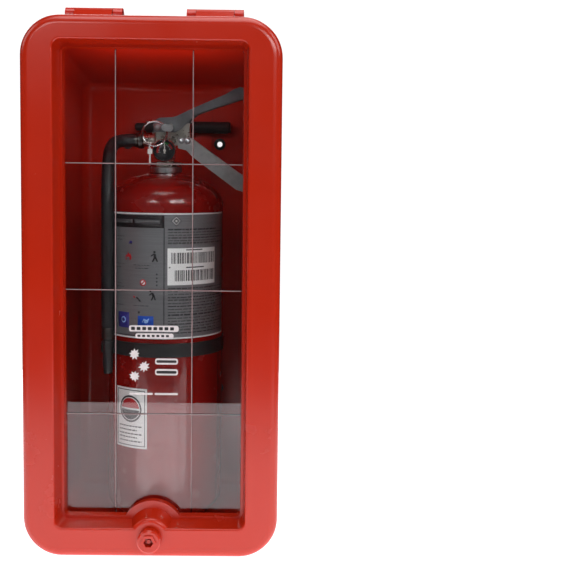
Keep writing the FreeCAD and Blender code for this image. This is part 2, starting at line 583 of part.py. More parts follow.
keep(turned("base_ring", [(50.0, "FloorZ"), (53.0, "FloorZ"), (53.0, 22.0), (50.0, 22.0)], AT), "base_ring")
charge = full_in.copy().common(rod(CR - CWL - 0.15, (0, 0, 0), (0, 0, 1), 330.0)).cut(rod(7.7, (0, 0, 30), (0, 0, 1), 320))
charge = charge.common(box(-100, 100, -100, 100, 22.0 + CWL + 0.1, 400))
charge.Placement = AT
keep(feature("powder_charge", charge), "powder_charge")
keep(turned("neck_collar", [(12.1, 412.0), ("NeckRadius", 412.0), ("NeckRadius", 423.2), ("CollarRadius", 423.2), ("CollarRadius", 429.0),
                            ("CollarRadius-1", 430.0), (14.8, 430.0), (14.8, 427.0), (12.1, 427.0)], AT), "neck_collar")
keep(turned("siphon_tube", [(6.0, 42.0), (7.5, 42.0), (7.5, 404.0), (6.0, 404.0)], AT), "siphon_tube")
keep(prim("Torus", "valve_o_ring_torus", placed(AX, AY, 428.6), Radius1=13.4, Radius2=1.2), "valve_o_ring")

# valve: plug, hexagon flange, tapered body, head block, gauge port and outlet
v1 = prim("Cylinder", "valve_plug", placed(AX, AY, 404), Radius=12.0, Height=27.0)
v2 = doc.addObject("Part::Prism", "valve_hexagon")
v2.Polygon, v2.Circumradius, v2.Height = 6, 18.5, 5.0
v2.Placement = placed(AX, AY, 430.2)
v3 = prim("Cone", "valve_taper", placed(AX, AY, 435), Radius1=9.8, Radius2=12.0, Height=21.0)
v4 = prim("Box", "valve_head", placed(AX - 13.0, AY - 8.5, 455.5), Length=43.0, Width=17.0, Height=25.5)
v4f = doc.addObject("Part::Fillet", "valve_head_soft")
v4f.Base = v4
doc.recompute()
v4f.Edges = [(i + 1, 2.5, 2.5) for i, e in enumerate(v4.Shape.Edges) if e.BoundBox.ZLength > 20]
v5 = prim("Cylinder", "valve_gauge_port", placed(AX, AY - 6.0, D("GaugeZ"), (1, 0, 0), 90), Radius=5.0, Height=6.2)
v6 = prim("Cylinder", "valve_outlet", placed(AX - 10.0, AY, 461.0, (0, 1, 0), -90), Radius=7.5, Height=16.0)
valve_out = fuse("valve_outside", v1, v2, v3, v4f, v5, v6)
w1 = prim("Cylinder", "valve_inlet_bore", placed(AX, AY, 403), Radius=6.0, Height=24.0)
w2 = prim("Cylinder", "valve_chamber", placed(AX, AY, 426), Radius=6.5, Height=36.0)
w3 = prim("Cylinder", "valve_stem_guide", placed(AX, AY, 460), Radius="StemRadius+0.08", Height=30.0)
w4 = prim("Cylinder", "valve_outlet_bore", placed(AX, AY, 461.0, (0, 1, 0), -90), Radius=4.0, Height=30.0)
w5 = prim("Cylinder", "valve_pin_bore", placed(D("PinX"), AY + 20, D("PinZ"), (1, 0, 0), 90), Radius="PinRadius+0.08", Height=40.0)
w6 = prim("Cylinder", "valve_pivot_bore", placed(D("PivotX"), AY + 20, D("PivotZ") - 2.5, (1, 0, 0), 90), Radius="PivotRadius", Height=40.0)
w7 = [prim("Cylinder", "valve_rivet_bore_%d" % k, placed(AX + u, AY + 20, zz, (1, 0, 0), 90), Radius=2.0, Height=40.0)
      for k, (u, zz) in enumerate(((19.5, 460.5), (26.5, 460.5)))]
w8 = prim("Cylinder", "valve_gauge_bore", placed(AX, AY, D("GaugeZ"), (1, 0, 0), 90), Radius=1.5, Height=20.0)
keep(cut("valve_body", valve_out, w1, w2, w3, w4, w5, w6, w8, *w7), "valve_body")
PVZ = D("PivotZ") - 2.5

# valve stem with its sealing disc, seat washer and return spring
keep(turned("valve_stem", [(0, 432.0), (2.0, 432.0), (2.0, 441.0), (5.6, 441.0), (5.6, 443.5), ("StemRadius", 443.5), ("StemRadius", 485.0),
                           (1.6, 485.8), (0, 485.8)], AT), "valve_stem")
keep(turned("stem_seal", [("StemRadius", 443.5), (5.6, 443.5), (5.6, 445.5), ("StemRadius", 445.5)], AT), "stem_seal")
helix = Part.makeHelix(2.2, 13.0, 4.2)
coil = Part.Wire(helix.Edges).makePipeShell([Part.Wire(Part.makeCircle(0.5, V(4.2, 0, 0), V(0, 1, 0.08)))], True, True)
coil.Placement = placed(AX, AY, 427.2)
keep(feature("stem_spring", coil), "stem_spring")
print("spring", coil.isValid(), round(coil.Volume, 1), round(math.pi * 0.25 * math.hypot(2 * math.pi * 4.2 * 13 / 2.2, 13), 1))


def channel(label, side, drop, half, thick):
    """A pressed steel channel: side is its outline seen from the front, open underneath."""
    pts = [V(AX + a, AY - half, b) for a, b in side]
    outer_b = Part.Face(Part.makePolygon(pts + [pts[0]])).extrude(V(0, 2 * half, 0))
    inner_b = outer_b.copy()
    tool = None
    for k in range(0, 13):
        c = outer_b.copy()
        c.translate(V(0, 0, -thick - k * drop))
        tool = c if tool is None else tool.fuse(c)
    slot = box(-300, 300, AY - half + thick, AY + half - thick, 300, 620)
    return outer_b.cut(tool.common(slot)).removeSplitter()


LEVER = [(-13.5, 471.0), (-14.5, 479.0), (-12.0, 484.5), (-7.0, 487.3), (8.0, 488.2), (13.0, 489.5), (38.0, 501.5), (70.0, 515.5), (80.0, 521.5),
         (88.0, 524.5), (94.0, 523.0), (96.5, 518.0), (94.5, 512.0), (60.0, 500.5), (38.0, 492.3), (29.0, 485.0), (19.0, 474.5), (12.0, 470.5), (2.0, 470.5)]
lev = channel("squeeze_lever", LEVER, 6.0, 10.4, 1.5)
lev = lev.cut(box(AX - 17, AX + 31, AY - 8.9, AY + 8.9, 440, 484.4))
lev = lev.cut(rod(D("PivotRadius") + 0.06, (D("PivotX"), AY - 20, PVZ), (0, 1, 0), 40))
px, pz = D("PinX") - D("PivotX"), D("PinZ") - PVZ
for a in (0.0, 2.5, 5.0, 7.5, 10.0, 11.0):
    ar = math.radians(a)
    lev = lev.cut(rod(D("PinRadius") + 0.35, (D("PivotX") + px * math.cos(ar) - pz * math.sin(ar), AY - 20,
                                              PVZ + px * math.sin(ar) + pz * math.cos(ar)), (0, 1, 0), 40))
lev_es = edges_at(lev, lambda e: e.BoundBox.YLength > 20 and e.BoundBox.ZMin > 486)
keep(feature("squeeze_lever", lev), "squeeze_lever")

HANDLE = [(15.0, 464.5), (30.5, 464.5), (37.0, 459.5), (96.0, 417.5), (100.0, 411.0), (98.5, 403.0), (92.0, 401.5), (84.0, 404.0), (33.0, 441.5), (25.0, 449.5), (15.0, 452.0)]
han = channel("carry_handle", HANDLE, 6.0, 10.2, 1.6)
han = han.cut(box(AX + 14, AX + 30.3, AY - 8.6, AY + 8.6, 440, 470))
for u in (19.5, 26.5):
    han = han.cut(rod(2.0, (AX + u, AY - 20, 460.5), (0, 1, 0), 40))
keep(feature("carry_handle", han), "carry_handle")
rv = []
for k, u in enumerate((19.5, 26.5)):
    rv.append(turned("handle_rivet_%d" % k, [(0, -12.0), (2.6, -11.6), (3.6, -10.25), (2.0, -10.25), (2.0, 10.25), (3.6, 10.25), (2.6, 11.6), (0, 12.0)],
                     placed(AX + u, AY, 460.5, (1, 0, 0), 90)))
keep(group("handle_rivets", *rv), "handle_rivets")
keep(turned("lever_pivot_pin", [(0, -12.2), (3.0, -11.8), (4.2, -10.6), ("PivotRadius", -10.6), ("PivotRadius", 10.6), (4.2, 10.6), (3.0, 11.8), (0, 12.2)],
            placed(D("PivotX"), AY, PVZ, (1, 0, 0), 90)), "lever_pivot_pin")

# pull pin with an oblong eye, its ring and the tamper seal
EX, EZ, EV = D("PinX") - 5.0, D("PinZ") + 0.5, AY - 23.5
tx, tz = -0.504, 0.8637
pin = rod(D("PinRadius"), (D("PinX"), AY - 20.0, D("PinZ")), (0, 1, 0), 32.0)
lug = rod(4.0, (D("PinX"), EV - 4.2, D("PinZ")), (0, 1, 0), 8.4).fuse(rod(4.0, (EX, EV - 4.2, EZ), (0, 1, 0), 8.4)).fuse(
    box(EX, D("PinX"), EV - 4.2, EV + 4.2, D("PinZ") - 3.95, D("PinZ") + 4.0))
pin = pin.fuse(lug).cut(rod(2.25, (EX - 12 * tx, EV, EZ - 12 * tz), (tx, 0, tz), 24)).removeSplitter()
keep(feature("pull_pin", pin), "pull_pin")
RX, RZ = EX - D("RingRadius") * 0.8637, EZ - D("RingRadius") * 0.504
ring = prim("Torus", "pull_ring_torus", placed(RX, EV, RZ, (1, 0, 0), 90), Radius1="RingRadius", Radius2="RingWire")
keep(ring, "pull_ring")
sa = math.radians(-112.0)
sxp, szp = RX + D("RingRadius") * math.cos(sa), RZ + D("RingRadius") * math.sin(sa)
loop = Part.makeTorus(3.0, 0.6, V(sxp, EV, szp), V(math.sin(sa), 0, -math.cos(sa)))
tail = box(sxp - 0.9, sxp + 0.9, EV - 0.4, EV + 0.4, szp - 21.0, szp - 3.0)
tag = box(sxp - 2.6, sxp + 2.6, EV - 0.7, EV + 0.7, szp - 10.5, szp - 4.5)
keep(feature("tamper_seal", loop.fuse(tail).fuse(tag).removeSplitter()), "tamper_seal")

# pressure gauge facing the front
GZ = D("GaugeZ")
GA = placed(AX, AY - 12.2, GZ, (1, 0, 0), 90)
keep(turned("gauge_case", [(0, 0), ("GaugeRadius-1", 0), ("GaugeRadius", 1.0), ("GaugeRadius", 8.0), ("GaugeRadius-0.7", 8.6), ("GaugeRadius-1.6", 8.6),
                           ("GaugeRadius-1.6", 2.0), (0, 2.0)], GA), "gauge_case")
keep(turned("gauge_dial", [(1.0, 2.0), ("GaugeRadius-1.65", 2.0), ("GaugeRadius-1.65", 2.6), (1.0, 2.6)], GA), "gauge_dial")
lens = turned("gauge_lens", [(0, 7.0), ("GaugeRadius-1.65", 7.0), ("GaugeRadius-1.65", 8.2), (0, 8.2)], GA)
keep(lens, "gauge_lens")
nd = rod(1.6, (AX, AY - 15.4, GZ), (0, -1, 0), 1.2).fuse(
    Part.Face(Part.makePolygon([V(AX - 0.9, AY - 15.6, GZ - 3.5), V(AX + 0.9, AY - 15.6, GZ - 3.5), V(AX + 0.35, AY - 15.6, GZ + 9.0),
                                V(AX - 0.35, AY - 15.6, GZ + 9.0), V(AX - 0.9, AY - 15.6, GZ - 3.5)])).extrude(V(0, -0.5, 0)))
nd = nd.fuse(rod(0.9, (AX, AY - 14.3, GZ), (0, -1, 0), 1.6)).removeSplitter()
keep(feature("gauge_needle", nd), "gauge_needle")

# discharge hose: nut, hose, ferrule, nozzle, strap and clip
nutb = turned("hose_nut", [(4.0, 0), (9.2, 0), (10.0, 1.0), (10.0, 6.0), (8.6, 7.0), (8.6, 10.0), (4.0, 10.0)],
              placed(AX - 26.0, AY, 461.0, (0, 1, 0), -90))
keep(nutb, "hose_nut")
HR = D("HoseRadius")
ROUTE = [V(AX - 36.0, AY, 461.0), V(AX - 50.0, AY, 461.0), V(-58.0, -6.0, 457.0), V(-60.0, -26.0, 440.0), V(-58.6, -38.6, 405.0),
         V(-58.6, -38.6, 244.0)]


def rounded_path(points):
    """Straight runs joined by tangent arcs, each 0.45 of its shorter run."""
    segs, last = [], points[0]
    for k in range(1, len(points) - 1):
        a, b, c = points[k - 1], points[k], points[k + 1]
        u, w2 = (a - b), (c - b)
        la, lc = u.Length, w2.Length
        u.normalize()
        w2.normalize()
        turn = math.pi - u.getAngle(w2)
        back = 0.45 * min(la, lc)
        r = back / math.tan(turn / 2)
        p, q2 = b + u * back, b + w2 * back
        mid = (u + w2)
        mid.normalize()
        cen = b + mid * math.hypot(r, back)
        segs.append(Part.LineSegment(last, p))
        segs.append(Part.Arc(p, cen - mid * r, q2))
        print("hose arc radius", round(r, 1))
        last = q2
    segs.append(Part.LineSegment(last, points[-1]))
    return Part.Wire([s.toShape() for s in segs])


path = rounded_path(ROUTE)
start = ROUTE[1] - ROUTE[0]
sec_o = Part.Wire(Part.makeCircle(HR, ROUTE[0], start))
sec_i = Part.Wire(Part.makeCircle(D("HoseBore"), ROUTE[0], start))
hose_o = path.makePipeShell([sec_o], True, False)
hose_i = path.makePipeShell([sec_i], True, False)
hose = hose_o.cut(hose_i)
print("hose", hose.isValid(), round(hose.Volume), round(math.pi * (HR ** 2 - D("HoseBore") ** 2) * path.Length), "length", round(path.Length, 1))
keep(feature("hose", hose), "hose")
HP = placed(-58.6, -38.6, 0)
keep(turned("hose_ferrule", [(4.0, 231.0), (7.4, 231.0), (7.4, 243.0), (7.0, 244.0), (4.0, 244.0)], HP), "hose_ferrule")
keep(turned("nozzle", [(2.6, 190.0), (4.6, 190.0), (5.0, 191.0), (5.9, 202.0), (6.0, 204.0), (6.0, 230.0), (6.3, 231.0), (4.0, 231.0), (4.0, 205.0)], HP), "nozzle")
ang = math.atan2(-38.6 - AY, -58.6 - AX)
band = rod(CR + 1.5, (AX, AY, D("StrapLow")), (0, 0, 1), D("StrapHigh") - D("StrapLow")).cut(
    rod(CR + 0.3, (AX, AY, D("StrapLow") - 1), (0, 0, 1), 30)).cut(box(AX - 5.0, AX + 5.0, AY + 50, AY + 90, 200, 240))
keep(feature("strap_band", band), "strap_band")
bk = box(AX - 11, AX + 11, AY + CR + 0.4, AY + CR + 4.0, D("StrapLow") - 2, D("StrapHigh") + 2).cut(
    rod(CR + 1.55, (AX, AY, 190), (0, 0, 1), 60))
keep(feature("strap_buckle", max(bk.Solids, key=lambda s: s.Volume)), "strap_buckle")
dist = math.hypot(-38.6 - AY, -58.6 - AX)
cl = rod(7.6, (-58.6, -38.6, 214.0), (0, 0, 1), 14.0).cut(rod(6.08, (-58.6, -38.6, 213), (0, 0, 1), 16))
mouth = box(0, 12, -4.0, 4.0, 210, 232)
mouth.rotate(V(0, 0, 0), V(0, 0, 1), math.degrees(ang))
mouth.translate(V(-58.6, -38.6, 0))
cl = cl.cut(mouth).cut(rod(CR + 1.5, (AX, AY, 200), (0, 0, 1), 50))
keep(feature("nozzle_clip", max(cl.Solids, key=lambda s: s.Volume)), "nozzle_clip")


def wrapped(label, r0, r1, a0, a1, z0, z1):
    """A film wrapped on the shell between two angles measured from the front."""
    pts = []
    face = Part.Face(Part.Wire([
        Part.LineSegment(V(r0, 0, z0), V(r1, 0, z0)).toShape(), Part.LineSegment(V(r1, 0, z0), V(r1, 0, z1)).toShape(),
        Part.LineSegment(V(r1, 0, z1), V(r0, 0, z1)).toShape(), Part.LineSegment(V(r0, 0, z1), V(r0, 0, z0)).toShape()]))
    face.rotate(V(0, 0, 0), V(0, 0, 1), -90.0 + a0)
    s = face.revolve(V(0, 0, 0), V(0, 0, 1), a1 - a0)
    s.Placement = AT
    return keep(feature(label, s), label)


FT = D("FilmThick")
wrapped("instruction_label", CR, CR + FT, -82.0, 82.0, D("LabelLow"), D("LabelHigh"))
wrapped("barcode_sticker", CR + FT, CR + 1.6 * FT, 8.0, 62.0, 296.0, 338.0)
wrapped("inspection_sticker", CR, CR + FT, -48.0, -11.5, 106.0, 176.0)

# ------------------------------------------------------- checks and export
doc.recompute()
bad = [o.Name for o in doc.Objects if "Invalid" in o.State or "Error" in o.State]
if bad:
    raise SystemExit("failed objects: %s" % bad)
os.makedirs("parts", exist_ok=True)
total = FreeCAD.BoundBox()
for label, obj in nodes:
    s = obj.Shape
    if s.isNull() or not s.isValid() or not s.Solids:
        raise SystemExit("bad shape: %s null=%s valid=%s solids=%d" % (label, s.isNull(), (not s.isNull()) and s.isValid(), len(s.Solids)))
    total.add(s.BoundBox)
    print("%-22s solids %2d  volume %10.1f mm3" % (label, len(s.Solids), s.Volume))
for label, obj in nodes:
    obj.Shape.exportStep("parts/%s.step" % label)
print("nodes", len(nodes), "box", [round(v, 2) for v in (total.XMin, total.YMin, total.ZMin, total.XMax, total.YMax, total.ZMax)])
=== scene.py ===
import math
import random

import bpy
from mathutils import Matrix, Vector


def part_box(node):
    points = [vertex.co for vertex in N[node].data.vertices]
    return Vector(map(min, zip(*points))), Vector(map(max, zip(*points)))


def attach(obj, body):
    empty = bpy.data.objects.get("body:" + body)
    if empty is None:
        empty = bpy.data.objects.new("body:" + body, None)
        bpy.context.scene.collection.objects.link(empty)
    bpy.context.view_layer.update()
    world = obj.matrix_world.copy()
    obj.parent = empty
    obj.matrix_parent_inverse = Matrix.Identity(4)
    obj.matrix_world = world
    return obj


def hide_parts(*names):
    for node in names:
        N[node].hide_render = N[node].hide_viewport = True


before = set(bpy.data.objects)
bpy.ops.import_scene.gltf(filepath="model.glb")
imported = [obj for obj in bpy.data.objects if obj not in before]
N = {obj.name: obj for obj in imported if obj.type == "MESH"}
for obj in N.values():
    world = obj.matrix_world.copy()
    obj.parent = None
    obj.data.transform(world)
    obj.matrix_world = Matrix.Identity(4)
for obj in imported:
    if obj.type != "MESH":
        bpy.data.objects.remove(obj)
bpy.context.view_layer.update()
MM = 0.001
YF = -118.0
AX, AY = 3.0, 7.0
scene = bpy.context.scene
scene.view_settings.view_transform = "Standard"
scene.view_settings.look = "None"
scene.view_settings.exposure = 0.0
scene.view_settings.gamma = 1.0


# ------------------------------------------------------------------ camera
cam_data = bpy.data.cameras.new("camera")
cam_data.lens = 62.38
cam_data.sensor_width = 36.0
cam_data.shift_y = -0.070
cam_data.clip_start = 0.02
cam = bpy.data.objects.new("camera", cam_data)
cam.matrix_world = (Matrix.Translation((0.1359, -1.1852, 0.430)) @ Matrix.Rotation(math.radians(-0.62), 4, "Z")
                    @ Matrix.Rotation(math.radians(90 - 4.53), 4, "X") @ Matrix.Rotation(math.radians(0.73), 4, "Z"))
scene.collection.objects.link(cam)
scene.camera = cam


# --------------------------------------------------------------- materials
def srgb(r, g, b):
    """Linear colour of 0-255 screen values."""
    out = []
    for c in (r, g, b):
        c = c / 255.0
        out.append(c / 12.92 if c <= 0.04045 else ((c + 0.055) / 1.055) ** 2.4)
    return (out[0], out[1], out[2], 1.0)


def scaled(c, k):
    return (min(c[0] * k, 1), min(c[1] * k, 1), min(c[2] * k, 1), 1.0)


class Mat:
    """A Principled material whose colour, roughness and bump come from nodes."""

    def __init__(self, name, rough=0.4, metallic=0.0, ior=1.5, coat=0.0, coat_rough=0.05, spec=0.5):
        self.m = bpy.data.materials.new(name)
        self.m.use_nodes = True
        self.nt = self.m.node_tree
        self.b = self.nt.nodes["Principled BSDF"]
        self.b.inputs["Roughness"].default_value = rough
        self.b.inputs["Metallic"].default_value = metallic
        self.b.inputs["IOR"].default_value = ior
        self.b.inputs["Coat Weight"].default_value = coat
        self.b.inputs["Coat Roughness"].default_value = coat_rough
        self.b.inputs["Specular IOR Level"].default_value = spec
        tc = self.nt.nodes.new("ShaderNodeTexCoord")
        self.obj = tc.outputs["Object"]
        self.height = None

    def link(self, a, b):
        self.nt.links.new(a, b)

    def node(self, kind, **kw):
        n = self.nt.nodes.new(kind)
        for k, v in kw.items():
            setattr(n, k, v)
        return n

    def stretch(self, scale):
        mp = self.node("ShaderNodeMapping")
        mp.inputs["Scale"].default_value = scale
        self.link(self.obj, mp.inputs["Vector"])
        return mp.outputs["Vector"]

    def noise(self, scale, detail=4.0, rough=0.55, vec=None, distortion=0.0):
        n = self.node("ShaderNodeTexNoise")
        n.inputs["Scale"].default_value = scale
        n.inputs["Detail"].default_value = detail
        n.inputs["Roughness"].default_value = rough
        n.inputs["Distortion"].default_value = distortion
        self.link(vec if vec is not None else self.obj, n.inputs["Vector"])
        return n.outputs["Fac"]

    def ramp(self, fac, stops, mode="LINEAR"):
        r = self.node("ShaderNodeValToRGB")
        r.color_ramp.interpolation = mode
        els = r.color_ramp.elements
        while len(els) < len(stops):
            els.new(0.5)
        for e, (p, c) in zip(els, stops):
            e.position = p
            e.color = c
        self.link(fac, r.inputs["Fac"])
        return r.outputs["Color"]

    def mix(self, fac, a, b):
        mx = self.node("ShaderNodeMix", data_type="RGBA")
        for value, sock in ((fac, mx.inputs["Factor"]), (a, mx.inputs[6]), (b, mx.inputs[7])):
            if hasattr(value, "links"):
                self.link(value, sock)
            else:
                sock.default_value = value
        return mx.outputs[2]

    def spread(self, fac, lo, hi, a=0.3, b=0.7):
        mr = self.node("ShaderNodeMapRange")
        mr.inputs["From Min"].default_value = a
        mr.inputs["From Max"].default_value = b
        mr.inputs["To Min"].default_value = lo
        mr.inputs["To Max"].default_value = hi
        self.link(fac, mr.inputs["Value"])
        return mr.outputs["Result"]

    def colour(self, c, vary=0.12, scale=9.0, detail=5.0, vec=None):
        f = self.noise(scale, detail, vec=vec)
        col = self.ramp(f, [(0.3, scaled(c, 1 - vary)), (0.7, scaled(c, 1 + vary * 0.6))])
        self.link(col, self.b.inputs["Base Color"])
        return col

    def rough(self, lo, hi, scale=30.0, detail=4.0, vec=None):
        self.link(self.spread(self.noise(scale, detail, vec=vec), lo, hi), self.b.inputs["Roughness"])

    def bump(self, fac, strength, distance):
        bm = self.node("ShaderNodeBump")
        bm.inputs["Strength"].default_value = strength
        bm.inputs["Distance"].default_value = distance
        self.link(fac, bm.inputs["Height"])
        if self.height is not None:
            self.link(self.height, bm.inputs["Normal"])
        self.height = bm.outputs["Normal"]
        self.link(self.height, self.b.inputs["Normal"])


def red_plastic(name, c, rough=(0.2, 0.27)):
    t = Mat(name, ior=1.52)
    base = t.noise(3.2, 5.0, 0.6)
    col = t.ramp(base, [(0.3, scaled(c, 0.93)), (0.7, scaled(c, 1.05))])
    # dust specks that settle on gloss mouldings
    speck = t.noise(260.0, 2.0, 0.4)
    mask = t.spread(speck, 0.0, 1.0, 0.79, 0.84)
    t.link(t.mix(mask, col, scaled(c, 1.5)), t.b.inputs["Base Color"])
    t.rough(rough[0], rough[1], 14.0, 6.0)
    t.bump(t.noise(55.0, 2.0, 0.4), 0.10, 0.0006)
    t.bump(t.noise(900.0, 2.0, 0.5), 0.05, 0.00012)
    return t.m


RED = srgb(186, 30, 10)
red_shell = red_plastic("red_shell", RED)
red_cover = red_plastic("red_cover", srgb(180, 35, 8), (0.21, 0.28))
red_lock = red_plastic("red_lock", srgb(180, 35, 8), (0.18, 0.26))


def enamel(name, c):
    t = Mat(name, ior=1.5, coat=0.6, coat_rough=0.05)
    base = t.noise(11.0, 5.0, 0.6)
    t.link(t.ramp(base, [(0.3, scaled(c, 0.88)), (0.7, scaled(c, 1.06))]), t.b.inputs["Base Color"])
    t.rough(0.16, 0.3, 40.0, 5.0)
    # orange peel in the baked coat
    t.bump(t.noise(240.0, 2.0, 0.5), 0.06, 0.0004)
    return t.m


red_enamel = enamel("red_enamel", srgb(136, 16, 10))


def metal(name, c, rough, stretch=(1, 1, 1), scale=120.0, grain=0.2, metallic=1.0, spots=0.0):
    t = Mat(name, metallic=metallic, ior=1.5)
    vec = t.stretch(stretch)
    n = t.noise(scale, 6.0, 0.65, vec=vec)
    col = t.ramp(n, [(0.25, scaled(c, 0.78)), (0.75, scaled(c, 1.08))])
    if spots:
        s = t.spread(t.noise(420.0, 3.0, 0.6), 0.0, 1.0, 0.64, 0.72)
        col = t.mix(s, col, scaled(c, 1 - spots))
    t.link(col, t.b.inputs["Base Color"])
    t.link(t.spread(n, rough[0], rough[1]), t.b.inputs["Roughness"])
    t.bump(n, grain, 0.00012)
    return t.m


valve_metal = metal("valve_plated", (0.52, 0.49, 0.44, 1), (0.22, 0.36), scale=90.0)
pressed = metal("pressed_steel", (0.60, 0.61, 0.62, 1), (0.26, 0.42), (1, 6, 1), 160.0, 0.25, spots=0.5)
# the lever's dark base colour is painted shade: it stands in for the dark room the steel mirrors
lever_steel_painted_shade = metal("lever_steel_painted_shade", (0.27, 0.275, 0.285, 1), (0.30, 0.34), (1, 1, 1), 90.0, 0.02, spots=0.0)
handle_steel = metal("handle_steel", (0.60, 0.585, 0.585, 1), (0.31, 0.35), (1, 1, 1), 170.0, 0.02, spots=0.0)
dark_nut = metal("dark_nut", (0.10, 0.095, 0.09, 1), (0.25, 0.4), scale=90.0)
zinc = metal("zinc_plate", (0.62, 0.63, 0.66, 1), (0.25, 0.4), scale=60.0)
chrome = metal("chrome_bezel", (0.80, 0.81, 0.83, 1), (0.06, 0.14), scale=40.0, grain=0.05)
spring = metal("spring_wire", (0.55, 0.55, 0.57, 1), (0.2, 0.34), (1, 1, 8), 200.0)


def black(name, c, rough, bump=0.12, scale=420.0):
    t = Mat(name, ior=1.48)
    t.colour((c, c * 1.02, c * 1.06, 1), 0.25, 30.0)
    t.rough(rough[0], rough[1], 60.0)
    t.bump(t.noise(scale, 3.0, 0.6), bump, 0.0002)
    return t.m


black_rubber = black("black_rubber", 0.018, (0.42, 0.58), 0.2, 700.0)
black_plastic = black("black_plastic", 0.022, (0.36, 0.5), 0.22, 900.0)
strap_black = black("strap_black", 0.02, (0.34, 0.5), 0.25, 600.0)


def foam_material():
    t = Mat("foam_seal", ior=1.4)
    t.colour((0.05, 0.05, 0.052, 1), 0.3, 200.0)
    t.rough(0.8, 0.95, 300.0)
    vor = t.node("ShaderNodeTexVoronoi")
    vor.inputs["Scale"].default_value = 1400.0
    t.link(t.obj, vor.inputs["Vector"])
    t.bump(vor.outputs["Distance"], 0.5, 0.0004)
    return t.m


foam = foam_material()


def powder_material():
    t = Mat("dry_powder", ior=1.4)
    t.colour((0.78, 0.74, 0.55, 1), 0.12, 160.0)
    t.rough(0.85, 0.95, 200.0)
    t.bump(t.noise(1600.0, 4.0, 0.7), 0.5, 0.0003)
    return t.m


powder = powder_material()


def clear_material(name, tint, painted_shade_tint, ior, rough=(0.0, 0.02), haze=0.0):
    """Clear moulded sheet: bends what is seen, and lets lamps through dimmed by a grey that is painted shade for what
    lies behind it.
    """
    t = Mat(name, rough=0.01, ior=ior)
    t.b.inputs["Transmission Weight"].default_value = 1.0
    n = t.noise(7.0, 4.0)
    t.link(t.ramp(n, [(0.3, scaled(tint, 0.985)), (0.7, tint)]), t.b.inputs["Base Color"])
    t.link(t.spread(t.noise(24.0, 6.0, 0.7), rough[0], rough[1]), t.b.inputs["Roughness"])
    out = t.nt.nodes["Material Output"]
    path = t.node("ShaderNodeLightPath")
    # lamp light passing the sheet takes this grey: painted shade on what lies behind, not a tint of the sheet
    see = t.node("ShaderNodeBsdfTransparent")
    see.inputs["Color"].default_value = painted_shade_tint
    mix = t.node("ShaderNodeMixShader")
    t.link(path.outputs["Is Shadow Ray"], mix.inputs[0])
    t.link(t.b.outputs["BSDF"], mix.inputs[1])
    t.link(see.outputs["BSDF"], mix.inputs[2])
    t.link(mix.outputs[0], out.inputs["Surface"])
    return t.m


# the panel's grey for lamps is painted shade that darkens the cabinet's inside
clear_panel = clear_material("clear_panel", (0.95, 0.965, 0.965, 1), (0.62, 0.62, 0.63, 1), 1.49)
clear_lens = clear_material("gauge_lens", (0.97, 0.98, 0.98, 1), (0.9, 0.9, 0.9, 1), 1.5)


def print_ink(name, c, rough=0.45, vary=0.08, scale=60.0, grain=0.05):
    t = Mat(name, ior=1.46)
    t.colour(c, vary, scale)
    t.rough(rough - 0.06, rough + 0.08, 90.0)
    t.bump(t.noise(1200.0, 2.0, 0.5), grain, 0.0001)
    return t.m


ink_white = print_ink("ink_white", (0.86, 0.86, 0.86, 1), 0.5, 0.04)
panel_white = print_ink("panel_white", (0.66, 0.62, 0.62, 1), 0.5, 0.12, 220.0)
ink_black = print_ink("ink_black", (0.012, 0.012, 0.014, 1), 0.4, 0.2)
ink_grey = print_ink("ink_grey", (0.04, 0.04, 0.045, 1), 0.45, 0.2)
ink_mid = print_ink("ink_mid_grey", (0.085, 0.085, 0.09, 1), 0.45, 0.2)
ink_red = print_ink("ink_red", srgb(190, 30, 36), 0.42)
ink_blue = print_ink("ink_blue", srgb(20, 80, 190), 0.42)
ink_violet = print_ink("ink_violet", srgb(50, 46, 130), 0.42)
ink_pale = print_ink("ink_pale_blue", srgb(150, 190, 240), 0.42)
ink_green = print_ink("ink_green", srgb(28, 130, 54), 0.42)
frost = print_ink("score_frost", (0.33, 0.23, 0.23, 1), 0.7, 0.2, 300.0, 0.4)
dial_black = print_ink("dial_ground", (0.02, 0.02, 0.022, 1), 0.35, 0.15)
needle_paint = print_ink("needle_paint", (0.75, 0.72, 0.66, 1), 0.35, 0.1)
paper_white = print_ink("sticker_white", (0.88, 0.88, 0.87, 1), 0.42, 0.05, 20.0)
white_plastic = print_ink("seal_white", (0.84, 0.83, 0.80, 1), 0.38, 0.06, 120.0)


def label_film():
    """Brushed silver polyester film."""
    t = Mat("label_film", metallic=0.35, ior=1.5)
    vec = t.stretch((1, 1, 40))
    n = t.noise(22.0, 6.0, 0.7, vec=vec)
    t.link(t.ramp(n, [(0.3, (0.17, 0.172, 0.18, 1)), (0.7, (0.23, 0.233, 0.242, 1))]), t.b.inputs["Base Color"])
    t.link(t.spread(n, 0.3, 0.44), t.b.inputs["Roughness"])
    t.bump(n, 0.06, 0.0001)
    return t.m


label_silver = label_film()


def decal_film():
    t = Mat("decal_red_film", ior=1.5)
    t.colour(srgb(176, 20, 8), 0.05, 4.0)
    t.rough(0.15, 0.22, 16.0)
    t.bump(t.noise(70.0, 2.0, 0.4), 0.08, 0.0004)
    return t.m


decal_red = decal_film()


